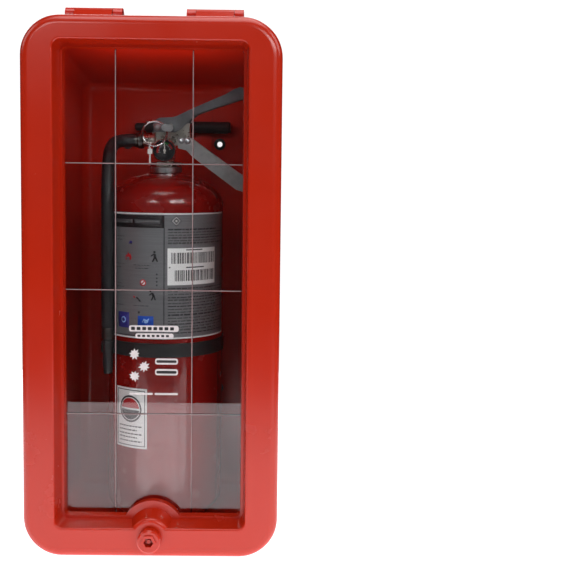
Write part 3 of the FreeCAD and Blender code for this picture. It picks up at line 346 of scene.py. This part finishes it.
def decal_silver():
    """Printed shading of a cylinder, across the film's depth."""
    t = Mat("decal_silver", ior=1.5)
    sep = t.node("ShaderNodeSeparateXYZ")
    t.link(t.obj, sep.inputs["Vector"])
    y0, y1 = (YF + 114.0) * MM, (YF + 183.0) * MM
    f = t.spread(sep.outputs["Y"], 0.0, 1.0, y0, y1)
    g = [(0.0, 0.62), (0.05, 0.60), (0.14, 0.36), (0.30, 0.31), (0.5, 0.50), (0.62, 0.46), (0.86, 0.27), (0.94, 0.30), (0.97, 0.6), (1.0, 0.66)]
    col = t.ramp(f, [(p, (v * 0.95, v * 1.0, v * 1.03, 1)) for p, v in g])
    fine = t.noise(500.0, 3.0, 0.6)
    t.link(t.mix(t.spread(fine, 0.0, 0.12), col, (0.2, 0.21, 0.22, 1)), t.b.inputs["Base Color"])
    t.rough(0.16, 0.24, 30.0)
    return t.m


decal_metal = decal_silver()
decal_block = print_ink("decal_block_red", srgb(178, 22, 10), 0.2, 0.05)
decal_ink = print_ink("decal_ink", srgb(28, 12, 18), 0.22, 0.15)
decal_pale = print_ink("decal_pale", (0.62, 0.64, 0.64, 1), 0.22, 0.05)

FINISH = {
    "cabinet_body": red_shell, "hinge_pins": zinc, "rim_gasket": foam, "mount_hole_grommets": black_rubber,
    "breaker_bar": black_plastic, "breaker_bar_clips": pressed, "side_decal": decal_red, "lock_keeper": zinc,
    "keeper_rivets": zinc, "cover_frame": red_cover, "clear_panel": clear_panel, "panel_gasket": foam,
    "panel_clips": black_plastic, "panel_screws": zinc, "lock_bush": red_lock, "lock_nut": zinc,
    "lock_plug": red_lock, "lock_cam": zinc, "lock_cam_screw": zinc, "lock_retaining_ring": spring,
    "cylinder_shell": red_enamel, "base_ring": red_enamel, "powder_charge": powder, "neck_collar": pressed,
    "siphon_tube": white_plastic, "valve_o_ring": black_rubber, "valve_body": valve_metal, "stem_spring": spring,
    "carry_handle": handle_steel, "handle_rivets": zinc, "lever_pivot_pin": zinc, "gauge_case": chrome,
    "gauge_dial": dial_black, "gauge_lens": clear_lens, "hose_nut": dark_nut, "hose": black_rubber,
    "hose_ferrule": dark_nut, "nozzle": black_plastic, "strap_band": strap_black, "strap_buckle": pressed,
    "nozzle_clip": strap_black, "instruction_label": label_silver, "barcode_sticker": paper_white,
    "inspection_sticker": paper_white, "squeeze_lever": lever_steel_painted_shade, "valve_stem": valve_metal, "stem_seal": black_rubber,
    "pull_pin": pressed, "pull_ring": chrome, "tamper_seal": white_plastic, "gauge_needle": needle_paint,
}
for name, obj in N.items():
    m = FINISH.get(name, red_shell)
    obj.data.materials.clear()
    obj.data.materials.append(m)


# ------------------------------------------------------- small mesh builder
class Build:
    """Collects closed thin prints into one mesh, with a material each."""

    def __init__(self, name, body, slot, mats, smooth=False):
        self.name, self.body, self.slot, self.mats, self.smooth = name, body, slot, mats, smooth
        self.v, self.f, self.mi = [], [], []

    def add(self, verts, faces, mat):
        k = len(self.v)
        self.v += [tuple(c * MM for c in p) for p in verts]
        self.f += [[i + k for i in f] for f in faces]
        self.mi += [self.mats.index(mat)] * len(faces)

    def prism(self, outline, P, l0, l1, mat):
        n = len(outline)
        area = sum(outline[i][0] * outline[(i + 1) % n][1] - outline[(i + 1) % n][0] * outline[i][1] for i in range(n))
        if area < 0:
            outline = outline[::-1]
        verts = [P(u, v, l0) for u, v in outline] + [P(u, v, l1) for u, v in outline]
        faces = [list(range(n - 1, -1, -1)), list(range(n, 2 * n))]
        faces += [[i, (i + 1) % n, n + (i + 1) % n, n + i] for i in range(n)]
        self.add(verts, faces, mat)

    def grid(self, u0, u1, v0, v1, P, l0, l1, mat, nu=1, nv=1):
        ring = [(u0 + (u1 - u0) * i / nu, v0 + (v1 - v0) * j / nv) for j in range(nv + 1) for i in range(nu + 1)]
        m = len(ring)
        verts = [P(u, v, l0) for u, v in ring] + [P(u, v, l1) for u, v in ring]
        w = nu + 1
        faces = []
        for j in range(nv):
            for i in range(nu):
                a = j * w + i
                faces.append([a, a + w, a + w + 1, a + 1])
                faces.append([m + a, m + a + 1, m + a + w + 1, m + a + w])
        for i in range(nu):
            faces.append([i, i + 1, m + i + 1, m + i])
            b = nv * w + i
            faces.append([b + 1, b, m + b, m + b + 1])
        for j in range(nv):
            a = j * w
            faces.append([a + w, a, m + a, m + a + w])
            b = a + nu
            faces.append([b, b + w, m + b + w, m + b])
        self.add(verts, faces, mat)

    def done(self):
        me = bpy.data.meshes.new(self.name)
        me.from_pydata(self.v, [], self.f)
        for m in self.mats:
            me.materials.append(m)
        me.polygons.foreach_set("material_index", self.mi)
        me.polygons.foreach_set("use_smooth", [self.smooth] * len(self.f))
        me.validate()
        me.update()
        ob = bpy.data.objects.new(self.name, me)
        scene.collection.objects.link(ob)
        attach(ob, self.body)
        return ob


def disc(cx, cz, r, n=28, r2=None, start=0.0, squeeze=1.0):
    return [(cx + r * squeeze * math.cos(start + 2 * math.pi * k / n), cz + r * math.sin(start + 2 * math.pi * k / n)) for k in range(n)]


def arc_band(cx, cz, r0, r1, a0, a1, n=10):
    """Ring sector between two angles in degrees, clockwise from the top."""
    outer = [(cx + r1 * math.sin(math.radians(a0 + (a1 - a0) * k / n)), cz + r1 * math.cos(math.radians(a0 + (a1 - a0) * k / n))) for k in range(n + 1)]
    inner = [(cx + r0 * math.sin(math.radians(a1 + (a0 - a1) * k / n)), cz + r0 * math.cos(math.radians(a1 + (a0 - a1) * k / n))) for k in range(n + 1)]
    return outer + inner


def rounded(u0, u1, v0, v1, r, n=5):
    pts = []
    for cx, cz, a in ((u1 - r, v1 - r, 0), (u0 + r, v1 - r, 90), (u0 + r, v0 + r, 180), (u1 - r, v0 + r, 270)):
        for k in range(n + 1):
            t = math.radians(a + 90.0 * k / n)
            pts.append((cx + r * math.cos(t), cz + r * math.sin(t)))
    return pts


# --------------------------------------------------- panel: scores and print
PB = YF + 37.0
PFR = YF + 34.0


def panel_front(x, z, lift):
    return (x, PFR - lift, z)


scores = Build("panel_score_lines", "cover", "clear_panel_plastic", [frost])


for xs in (-42.5, 42.5):
    tri = [(-0.62, -0.02), (0.0, -0.78), (0.62, -0.02)]
    verts = [(xs + s, PB + d, 31.0) for s, d in tri] + [(xs + s, PB + d, 562.0) for s, d in tri]
    scores.add(verts, [[0, 1, 2], [5, 4, 3], [0, 3, 4, 1], [1, 4, 5, 2], [2, 5, 3, 0]], frost)
for zs in (153.0, 293.0, 433.0):
    tri = [(-0.62, -0.02), (0.0, -0.78), (0.62, -0.02)]
    cuts = [-108.5, -43.6, -41.4, 41.4, 43.6, 108.5]
    for k in (0, 2, 4):
        a, b = cuts[k], cuts[k + 1]
        verts = [(a, PB + d, zs + s) for s, d in tri] + [(b, PB + d, zs + s) for s, d in tri]
        scores.add(verts, [[2, 1, 0], [3, 4, 5], [1, 4, 3, 0], [2, 5, 4, 1], [0, 3, 5, 2]], frost)
for xs in (-42.5, 42.5):
    x = xs
    scores.grid(x - 0.5, x + 0.5, 46.0 if abs(x) < 60 else 31.0, 556.4, panel_front, 0.01, 0.07, frost)
for zs in (153.0, 293.0, 433.0):
    for a, b in ((-97.3, -43.3), (-41.7, 41.7), (43.3, 97.3)):
        scores.grid(a, b, zs - 0.5, zs + 0.5, panel_front, 0.01, 0.07, frost)
scores.done()

panel_print = Build("panel_print", "cover", "white_sticker", [panel_white, ink_black])


def burst(cx, cz, r, turn, seed):
    rnd = random.Random(seed)
    pts = []
    spikes = 9
    for k in range(spikes * 2):
        a = turn + math.pi * k / spikes
        rr = r * (0.86 + 0.28 * rnd.random()) if k % 2 == 0 else r * 0.60
        pts.append((cx + rr * math.cos(a), cz + rr * math.sin(a)))
    return pts


for cx, cz, turn, seed in ((-21.5, 221.0, 0.2, 1), (-10.9, 207.0, 0.5, 2), (-21.5, 196.0, 0.0, 3)):
    panel_print.prism(burst(cx, cz, 6.2, turn, seed), panel_front, 0.02, 0.08, panel_white)
# plain bars and blocks where the panel carries its printing
for z0, z1, x0, x1, step in ((246.6, 253.4, -27.5, 27.5, 6.2), (238.9, 244.6, -20.5, 22.0, 5.3)):
    panel_print.prism(rounded(x0, x1, z0, z1, 2.2), panel_front, 0.02, 0.06, panel_white)
    x = x0 + 2.2
    while x + step - 1.4 < x1 - 1.0:
        panel_print.prism(rounded(x, x + step - 1.9, z0 + 1.6, z1 - 1.6, 0.7, 3), panel_front, 0.07, 0.10, ink_black)
        x += step
for z0, z1, x0, x1 in ((209.6, 216.4, 1.5, 27.0), (197.4, 204.4, 1.5, 27.0)):
    panel_print.prism(rounded(x0, x1, z0, z1, 2.6), panel_front, 0.02, 0.06, panel_white)
    panel_print.prism(rounded(x0 + 1.5, x1 - 1.5, z0 + 1.9, z1 - 1.9, 1.4), panel_front, 0.07, 0.10, ink_black)
for x0, x1 in ((-27.0, -1.0), (1.0, 27.0)):
    panel_print.prism(rounded(x0, x1, 175.0, 177.2, 0.9, 3), panel_front, 0.02, 0.06, panel_white)
panel_print.done()


# ------------------------------------------------------- label on the shell
def on_shell(a, z, r):
    t = math.radians(a)
    return (AX + r * math.sin(t), AY - r * math.cos(t), z)


R1 = 68.25
lab = Build("label_print", "extinguisher", "printed_label", [ink_black, ink_grey, ink_mid, ink_white, ink_red, ink_blue, ink_violet, ink_pale], smooth=True)


def wrap(a0, a1, z0, z1, mat, lift=0.03, thick=0.03, nz=1):
    lab.grid(a0, a1, z0, z1, on_shell, R1 + lift, R1 + lift + thick, mat, nu=max(2, int(abs(a1 - a0) / 3)), nv=nz)


def deg(mm):
    return math.degrees(mm / R1)


wrap(-81.4, 81.4, 376.2, 377.7, ink_white)
wrap(-81.4, 81.4, 234.4, 236.0, ink_white)
wrap(-81.4, 5.0, 361.0, 375.2, ink_black)
for a0, a1 in ((-58.0, -27.0), (-25.0, 1.0)):
    wrap(a0, a1, 366.0, 370.2, ink_mid, 0.07)
wrap(4.3, 5.2, 238.0, 361.0, ink_grey)
wrap(-81.4, 5.2, 237.0, 237.8, ink_grey)
# thin ruled rows on the right half
rows = [358.5, 355.4, 352.3, 349.2, 346.1, 343.0] + [291.5 - 3.4 * k for k in range(16)]
for k, z in enumerate(rows):
    a = 8.5
    rnd = random.Random(40 + k)
    end = 78.0 - (0 if k % 4 else 14.0)
    while a < end:
        wd = 2.0 + 6.0 * rnd.random()
        wrap(a, min(a + wd, end), z, z + (1.2 if k % 5 else 1.7), ink_mid if k % 3 else ink_grey)
        a += wd + 0.8


def patch(pts, mat, a0, z0, k=1.0, lift=0.03):
    """A small flat shape in mm, laid on the film round (a0, z0)."""
    lab.prism([(a0 + deg(u * k), z0 + v * k) for u, v in pts], on_shell, R1 + lift, R1 + lift + 0.03, mat)


# emblem: two nested diamonds with a dot
for rr, mat, lift in ((6.2, ink_grey, 0.03), (4.9, ink_white, 0.07), (3.9, ink_grey, 0.11), (1.5, ink_white, 0.15)):
    patch([(0, rr), (-rr, 0), (0, -rr), (rr, 0)], mat, 16.3, 369.0, 1.0, lift)
# generic figures that show a standing, a stooping and a sweeping stance
figure_a = [[(0.2 + 1.2 * math.cos(t * 0.5236), 5.0 + 1.2 * math.sin(t * 0.5236)) for t in range(12)],
            [(-0.6, 3.7), (-3.8, 1.2), (-3.3, 0.4), (-0.6, 1.9), (-0.8, -0.6), (-2.6, -4.6), (-1.2, -5.0), (0.8, -1.4), (2.4, -4.8), (3.7, -4.4), (1.9, 0.2), (1.6, 3.2)]]
figure_b = [[(-1.8 + 1.1 * math.cos(t * 0.5236), 4.6 + 1.1 * math.sin(t * 0.5236)) for t in range(12)],
            [(-1.0, 3.4), (-3.4, 0.6), (-2.7, 0.1), (-0.5, 1.6), (0.2, -0.8), (-1.4, -4.8), (-0.1, -5.0), (1.6, -1.4), (2.6, -4.8), (3.8, -4.6), (2.6, 0.4), (1.4, 3.0)]]
for pts in figure_a:
    patch(pts, ink_black, -4.5, 328.0, 1.15)
for pts in figure_b:
    patch(pts, ink_black, -6.5, 284.0, 1.1)
flame = [(-3.4, -3.6), (-3.8, -0.6), (-2.2, 1.4), (-1.6, -0.2), (-0.6, 3.8), (1.0, 1.0), (1.6, 2.4), (3.2, -0.2), (3.4, -2.4), (2.4, -3.8)]
patch(flame, ink_red, -31.7, 328.4, 1.25)
patch([(-2.8, -1.6), (-0.6, 2.2), (2.6, 1.2), (2.0, -1.8)], ink_violet, -29.4, 344.0, 1.0)
patch(disc(0, 0, 0.9, 12), ink_black, -28.6, 342.6, 1.0, 0.07)
patch(disc(0, 0, 3.9, 24), ink_red, -15.7, 298.5)
patch(disc(0, 0, 2.5, 20), ink_white, -15.7, 298.5, 1.0, 0.07)
patch([(-2.2, -1.2), (1.2, 2.2), (2.2, 1.2), (-1.2, -2.2)], ink_red, -15.7, 298.5, 1.0, 0.11)
for dz in (6.5, 2.0, -2.0, -6.0):
    patch(disc(0, 0, 1.0, 12), ink_grey, -2.1, 302.0 + dz)
patch([(-3.6, 1.4), (1.8, -3.6), (3.2, -2.6), (-1.6, 2.6)], ink_black, -20.4, 279.8)
patch([(-4.4, 2.0), (-2.4, -1.4), (-0.8, 0.6)], ink_red, -23.0, 281.4)
patch(disc(0, 0, 1.5, 14), ink_grey, -20.0, 264.4)
wrap(-45.6, -31.0, 245.6, 263.4, ink_violet)
patch(disc(0, 0, 3.6, 20), ink_pale, -38.2, 254.6, 1.0, 0.07)
patch(disc(0, 0, 2.4, 20), ink_violet, -38.2, 254.6, 1.0, 0.11)
wrap(-21.1, -5.2, 249.4, 260.4, ink_blue)
patch([(-4.4, -1.6), (-1.6, 2.4), (1.4, 1.0), (4.6, 3.0), (2.8, -2.4), (0.2, -3.2)], ink_pale, -13.2, 255.0, 1.0, 0.07)
for k, (a0, a1, z) in enumerate(((-60, -38, 350.0), (-60, -40, 346.0), (-60, -36, 318.5), (-60, -40, 314.5), (-26, -8, 318.0), (-24, -10, 314.4),
                                 (-60, -40, 296.0), (-60, -38, 292.0), (-26, -10, 271.5), (-58, -38, 271.0))):
    rnd = random.Random(70 + k)
    a = a0
    while a < a1:
        wd = 1.6 + 3.0 * rnd.random()
        wrap(a, min(a + wd, a1), z, z + 1.1, ink_mid)
        a += wd + 0.8
lab.done()

# twin rows of plain bars on the white sticker
codes = Build("barcode_print", "extinguisher", "white_sticker", [ink_black, ink_grey], smooth=True)
RB = 68.40
for z0, z1, a0, seed in ((320.5, 333.0, 11.5, 3), (300.5, 313.0, 15.0, 4)):
    rnd = random.Random(seed)
    a = a0
    while a < 59.5:
        wd = 0.35 + 0.9 * rnd.random()
        codes.grid(a, a + wd, z0, z1, on_shell, RB + 0.02, RB + 0.05, ink_black, nu=1)
        a += wd + 0.35 + 0.75 * rnd.random()
for a0, a1, z in ((26.0, 44.0, 335.4), (26.0, 46.0, 315.4), (9.2, 10.8, 315.6)):
    codes.grid(a0, a1, z, z + 1.3, on_shell, RB + 0.02, RB + 0.05, ink_grey, nu=6)
codes.done()

# inspection sticker: ruled border, round emblem and plain rows
insp = Build("inspection_print", "extinguisher", "white_sticker", [ink_black, ink_grey, ink_mid, ink_red, ink_white], smooth=True)


def ring_rect(a0, a1, z0, z1, wa, wz, mat, lift):
    for u0, u1, v0, v1 in ((a0, a1, z1 - wz, z1), (a0, a1, z0, z0 + wz), (a0, a0 + wa, z0 + wz, z1 - wz), (a1 - wa, a1, z0 + wz, z1 - wz)):
        insp.grid(u0, u1, v0, v1, on_shell, R1 + lift, R1 + lift + 0.03, mat, nu=max(1, int((u1 - u0) / 3)))


ring_rect(-46.4, -13.3, 108.2, 173.8, 0.8, 1.0, ink_grey, 0.02)


def mark(pts, mat, a0, z0, lift):
    insp.prism([(a0 + deg(u), z0 + v) for u, v in pts], on_shell, R1 + lift, R1 + lift + 0.03, mat)




def strips(u0, u1, step, lower, upper, mat, lift):
    """Fill between two curves with narrow upright strips, so that the print follows the curved shell."""
    n = max(1, int(round((u1 - u0) / step)))
    for k in range(n):
        a, b = u0 + (u1 - u0) * k / n, u0 + (u1 - u0) * (k + 1) / n
        la, lb, ua, ub = lower(a), lower(b), upper(a), upper(b)
        if ua - la > 0.02 or ub - lb > 0.02:
            mark([(a, la), (b, lb), (b, max(ub, lb + 0.02)), (a, max(ua, la + 0.02))], mat, -30.0, 151.5, lift)


def arc(r):
    return lambda u: math.sqrt(max(r * r - u * u, 0.0))


def under(f):
    return lambda u: -f(u)


strips(-15.6, 15.6, 1.3, under(arc(15.6)), arc(15.6), ink_grey, 0.02)
strips(-13.6, 13.6, 1.2, under(arc(13.6)), arc(13.6), ink_white, 0.07)
strips(-12.4, 12.4, 1.2, lambda u: min(1.0, arc(12.6)(u)), arc(12.6), ink_red, 0.12)
strips(-12.4, 12.4, 1.2, under(arc(12.6)), lambda u: max(-1.0, -arc(12.6)(u)), ink_grey, 0.12)
for k, z in enumerate((130.5, 126.0, 121.5, 117.5, 113.0)):
    rnd = random.Random(90 + k)
    a = -43.6
    end = -17.0 - (5.0 if k % 2 else 0.0)
    while a < end:
        wd = 1.4 + 2.8 * rnd.random()
        insp.grid(a, min(a + wd, end), z, z + 1.5, on_shell, R1 + 0.02, R1 + 0.05, ink_grey if k < 3 else ink_mid, nu=1)
        a += wd + 0.7
insp.done()


# ------------------------------------------------------------ gauge dial
GZ = 449.0
g_lo, g_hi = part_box("gauge_dial")
GY = g_lo.y / MM
gauge = Build("gauge_print", "extinguisher", "dial_face", [ink_green, ink_red, ink_white])


def dial(x, z, lift):
    return (x, GY - lift, z)


gauge.prism(arc_band(AX, GZ, 7.4, 9.6, -30, 30, 12), dial, 0.02, 0.05, ink_green)
gauge.prism(arc_band(AX, GZ, 7.4, 9.6, -110, -33, 12), dial, 0.02, 0.05, ink_red)
gauge.prism(arc_band(AX, GZ, 7.4, 9.6, 33, 78, 10), dial, 0.02, 0.05, ink_red)
for k in range(13):
    a = -108 + 15.5 * k
    gauge.prism(arc_band(AX, GZ, 5.6, 7.0, a - 1.6, a + 1.6, 2), dial, 0.02, 0.05, ink_white)
gauge.done()


# ------------------------------------------------- pictogram on the side
def side(d, z, lift):
    """A point on the drafted side wall's film, at depth d behind the cover's front."""
    return (128.0 - (d - 49.0) * 8.0 / 199.57 + 0.252 + lift, YF + d, z)


art = Build("side_pictogram", "cabinet", "decal_film", [decal_ink, decal_metal, decal_block, decal_pale])


def grown(pts, g):
    """Outline moved outwards by g, for the dark edge behind a shape."""
    n = len(pts)
    area = sum(pts[i][0] * pts[(i + 1) % n][1] - pts[(i + 1) % n][0] * pts[i][1] for i in range(n))
    s = 1.0 if area > 0 else -1.0
    out = []
    for i in range(n):
        p0, p1, p2 = Vector(pts[i - 1]), Vector(pts[i]), Vector(pts[(i + 1) % n])
        e1, e2 = (p1 - p0).normalized(), (p2 - p1).normalized()
        n1, n2 = Vector((e1.y, -e1.x)) * s, Vector((e2.y, -e2.x)) * s
        m = n1 + n2
        if m.length < 1e-6:
            m = n1
        m.normalize()
        k = g / max(0.45, m.dot(n1))
        out.append((p1.x + m.x * k, p1.y + m.y * k))
    return out


def inked(pts, mat, edge=1.3, lift=0.02):
    art.prism(grown(pts, edge), side, lift, lift + 0.03, decal_ink)
    art.prism(pts, side, lift + 0.05, lift + 0.08, mat)


body_pts = [(114.0, 346.0), (115.2, 351.6), (119.0, 356.2), (126.0, 359.9), (138.1, 363.4), (139.2, 366.0), (138.6, 369.6), (158.6, 369.6),
            (158.0, 366.0), (159.2, 363.4), (171.0, 359.7), (178.0, 356.0), (181.8, 351.6), (183.0, 346.0), (184.2, 142.6),
            (178.0, 138.6), (168.0, 135.6), (158.0, 134.2), (148.5, 133.8), (139.0, 134.2), (129.0, 135.6), (119.5, 138.8), (113.4, 142.8)]
lever_pts = [(140.9, 394.6), (148.5, 398.4), (172.1, 403.5), (194.0, 407.2), (196.2, 405.6), (187.2, 399.3), (173.1, 395.6), (159.8, 392.3), (152.3, 391.6), (142.8, 389.9)]
grip_pts = [(164.1, 386.2), (176.8, 381.5), (187.2, 376.3), (191.9, 372.1), (195.3, 366.4), (188.2, 367.8), (180.6, 372.1), (166.4, 378.6)]
hose_out = [(120.0, 387.0)]
for k in range(0, 11):
    t = math.radians(90 + 9 * k)
    hose_out.append((113.5 + 16.0 * math.cos(t), 371.0 + 16.0 * math.sin(t)))
hose_out += [(97.5, 240.0), (107.0, 240.0)]
for k in range(10, -1, -1):
    t = math.radians(90 + 9 * k)
    hose_out.append((113.5 + 6.5 * math.cos(t), 371.0 + 6.5 * math.sin(t)))
hose_out += [(120.0, 377.5)]
art.prism(hose_out, side, 0.02, 0.05, decal_ink)
art.prism([(97.0, 240.4), (107.8, 240.4), (107.6, 216.0), (107.2, 199.0), (98.6, 199.0), (97.2, 216.0)], side, 0.06, 0.09, decal_ink)
art.prism([(97.6, 239.4), (107.2, 239.4), (107.0, 228.2), (97.8, 228.2)], side, 0.10, 0.13, decal_pale)
inked(lever_pts, decal_pale, 1.2)
inked(grip_pts, decal_pale, 1.2)
inked([(120.6, 386.2), (133.6, 386.2), (133.6, 376.8), (120.6, 376.8)], decal_pale, 1.2, 0.06)
inked([(135.4, 386.9), (138.4, 386.9), (138.4, 376.0), (135.4, 376.0)], decal_pale, 0.9, 0.06)
inked(body_pts, decal_metal, 1.2)
inked(disc(151.7, 381.5, 10.6, 36), decal_block, 1.5, 0.11)
art.prism(disc(151.7, 381.0, 1.8, 16), side, 0.20, 0.22, decal_pale)
art.prism([(151.0, 383.4), (152.4, 383.4), (151.7, 388.4)], side, 0.20, 0.22, decal_pale)
for u0, u1, v0, v1 in ((132.0, 167.0, 295.5, 335.5), (140.5, 154.5, 247.5, 286.5), (127.0, 166.5, 200.5, 240.0), (127.0, 163.5, 153.5, 192.0)):
    outline = [(u0, v0), (u1, v0), (u1, v1), (u0, v1)]
    art.prism(grown(outline, 2.2), side, 0.11, 0.14, decal_pale)
    art.prism(grown(outline, 1.2), side, 0.15, 0.18, decal_ink)
    art.prism(outline, side, 0.19, 0.22, decal_block)
art.done()


# ------------------------------------------------------------------- hose
ROUTE = [(-33.0, 7.0, 461.0), (-47.0, 7.0, 461.0), (-58.0, -6.0, 457.0), (-60.0, -26.0, 440.0), (-58.6, -38.6, 405.0), (-58.6, -38.6, 368.0), (-58.6, -38.6, 244.0)]
curve = bpy.data.curves.new("discharge_hose", "CURVE")
curve.dimensions = "3D"
sp = curve.splines.new("NURBS")
sp.points.add(len(ROUTE) - 1)
for p, q in zip(sp.points, ROUTE):
    p.co = (q[0] * MM, q[1] * MM, q[2] * MM, 1.0)
sp.order_u = 3
sp.use_endpoint_u = True
sp.resolution_u = 24
curve.resolution_u = 24
curve.bevel_depth = 7.5 * MM
curve.bevel_resolution = 10
curve.use_fill_caps = True
hose = bpy.data.objects.new("discharge_hose", curve)
scene.collection.objects.link(hose)


def hose_material():
    t = Mat("hose_rubber", ior=1.5)
    t.colour((0.014, 0.014, 0.016, 1), 0.3, 40.0)
    t.rough(0.34, 0.5, 80.0)
    # the cloth wrap's fine impression from curing
    sep = t.node("ShaderNodeTexWave", wave_type="BANDS", bands_direction="Z")
    sep.inputs["Scale"].default_value = 260.0
    sep.inputs["Distortion"].default_value = 1.5
    t.link(t.obj, sep.inputs["Vector"])
    t.bump(sep.outputs["Fac"], 0.08, 0.0002)
    t.bump(t.noise(900.0, 3.0, 0.6), 0.12, 0.0001)
    return t.m


curve.materials.append(hose_material())
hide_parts("hose")
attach(hose, "extinguisher")


# ------------------------------------------------------------------- stage
def floor_material():
    t = Mat("floor", rough=0.6, ior=1.4, spec=0.2)
    t.colour((0.86, 0.86, 0.865, 1), 0.02, 3.0)
    t.bump(t.noise(200.0, 3.0), 0.03, 0.0002)
    t.b.inputs["Emission Color"].default_value = (1.0, 0.90, 0.93, 1)
    t.b.inputs["Emission Strength"].default_value = 1.2
    return t.m


fl = bpy.data.meshes.new("floor")
top = rounded(-780.0, 780.0, -780.0, 900.0, 60.0)
verts = [(x * MM, y * MM, -0.0012) for x, y in top] + [(x * MM, y * MM, -0.0212) for x, y in top]
n = len(top)
fl.from_pydata(verts, [], [list(range(n)), list(range(2 * n - 1, n - 1, -1))] + [[i, n + i, n + (i + 1) % n, (i + 1) % n] for i in range(n)])
fl.materials.append(floor_material())
floor = bpy.data.objects.new("floor", fl)
scene.collection.objects.link(floor)


# -------------------------------------------------------------------- light
def lamp(name, loc, target, size, power, colour=(1, 1, 1)):
    d = bpy.data.lights.new(name, "AREA")
    d.shape = "RECTANGLE"
    d.size, d.size_y = size
    d.energy = power
    d.color = colour
    o = bpy.data.objects.new(name, d)
    o.location = loc
    o.rotation_euler = (Vector(target) - Vector(loc)).to_track_quat("-Z", "Y").to_euler()
    scene.collection.objects.link(o)
    return o


lamp("key_top", (0.10, -0.25, 1.75), (0.0, -0.15, 0.0), (1.5, 1.0), 15.0)
lamp("front_right", (0.80, -1.50, 1.08), (0.0, -0.1, 0.33), (0.90, 0.40), 9.6)
lamp("front_left", (-0.52, -1.55, 1.02), (0.0, -0.1, 0.33), (0.34, 0.20), 2.6)
lamp("inner_top", (0.0, -0.060, 0.530), (0.0, 0.060, 0.570), (0.17, 0.02), 0.075)
bpy.data.objects["inner_top"].visible_glossy = False
lamp("side_right", (1.75, -0.3, 1.5), (0.0, 0.0, 0.3), (0.8, 1.2), 10.0)
lamp("side_left", (-1.75, -0.2, 1.5), (0.0, 0.0, 0.3), (0.8, 1.2), 7.0)
lamp("back_fill", (0.0, 1.7, 1.5), (0.0, 0.1, 0.3), (1.4, 0.7), 8.0)

world = bpy.data.worlds.new("studio")
scene.world = world
world.use_nodes = True
wt = world.node_tree
bg = wt.nodes["Background"]
bg.inputs["Color"].default_value = (0.92, 0.95, 1.0, 1)
bg.inputs["Strength"].default_value = 0.16
dark = wt.nodes.new("ShaderNodeBackground")
dark.inputs["Color"].default_value = (0.05, 0.045, 0.045, 1)
dark.inputs["Strength"].default_value = 0.35
white = wt.nodes.new("ShaderNodeBackground")
white.inputs["Color"].default_value = (1, 1, 1, 1)
white.inputs["Strength"].default_value = 1.1
lp = wt.nodes.new("ShaderNodeLightPath")


def math_node(op, a, b):
    n = wt.nodes.new("ShaderNodeMath")
    n.operation = op
    for value, sock in ((a, n.inputs[0]), (b, n.inputs[1])):
        if hasattr(value, "links"):
            wt.links.new(value, sock)
        else:
            sock.default_value = value
    return n.outputs[0]


def world_mix(fac, a, b):
    n = wt.nodes.new("ShaderNodeMixShader")
    wt.links.new(fac, n.inputs[0])
    wt.links.new(a, n.inputs[1])
    wt.links.new(b, n.inputs[2])
    return n.outputs[0]


# dark room for anything mirrored, soft light for the rest, white where the lens looks straight out
mirrored = math_node("GREATER_THAN", math_node("ADD", lp.outputs["Is Glossy Ray"], lp.outputs["Glossy Depth"]), 0.5)
plain = math_node("LESS_THAN", math_node("ADD", lp.outputs["Glossy Depth"], lp.outputs["Diffuse Depth"]), 0.5)
straight = math_node("MULTIPLY", plain, lp.outputs["Is Camera Ray"])
through = math_node("MULTIPLY", plain, lp.outputs["Is Transmission Ray"])
card = wt.nodes.new("ShaderNodeBackground")
card.inputs["Color"].default_value = (1.0, 0.95, 0.95, 1)
card.inputs["Strength"].default_value = 1.05
lit = world_mix(through, world_mix(mirrored, bg.outputs[0], dark.outputs[0]), card.outputs[0])
wt.links.new(world_mix(straight, lit, white.outputs[0]), wt.nodes["World Output"].inputs["Surface"])
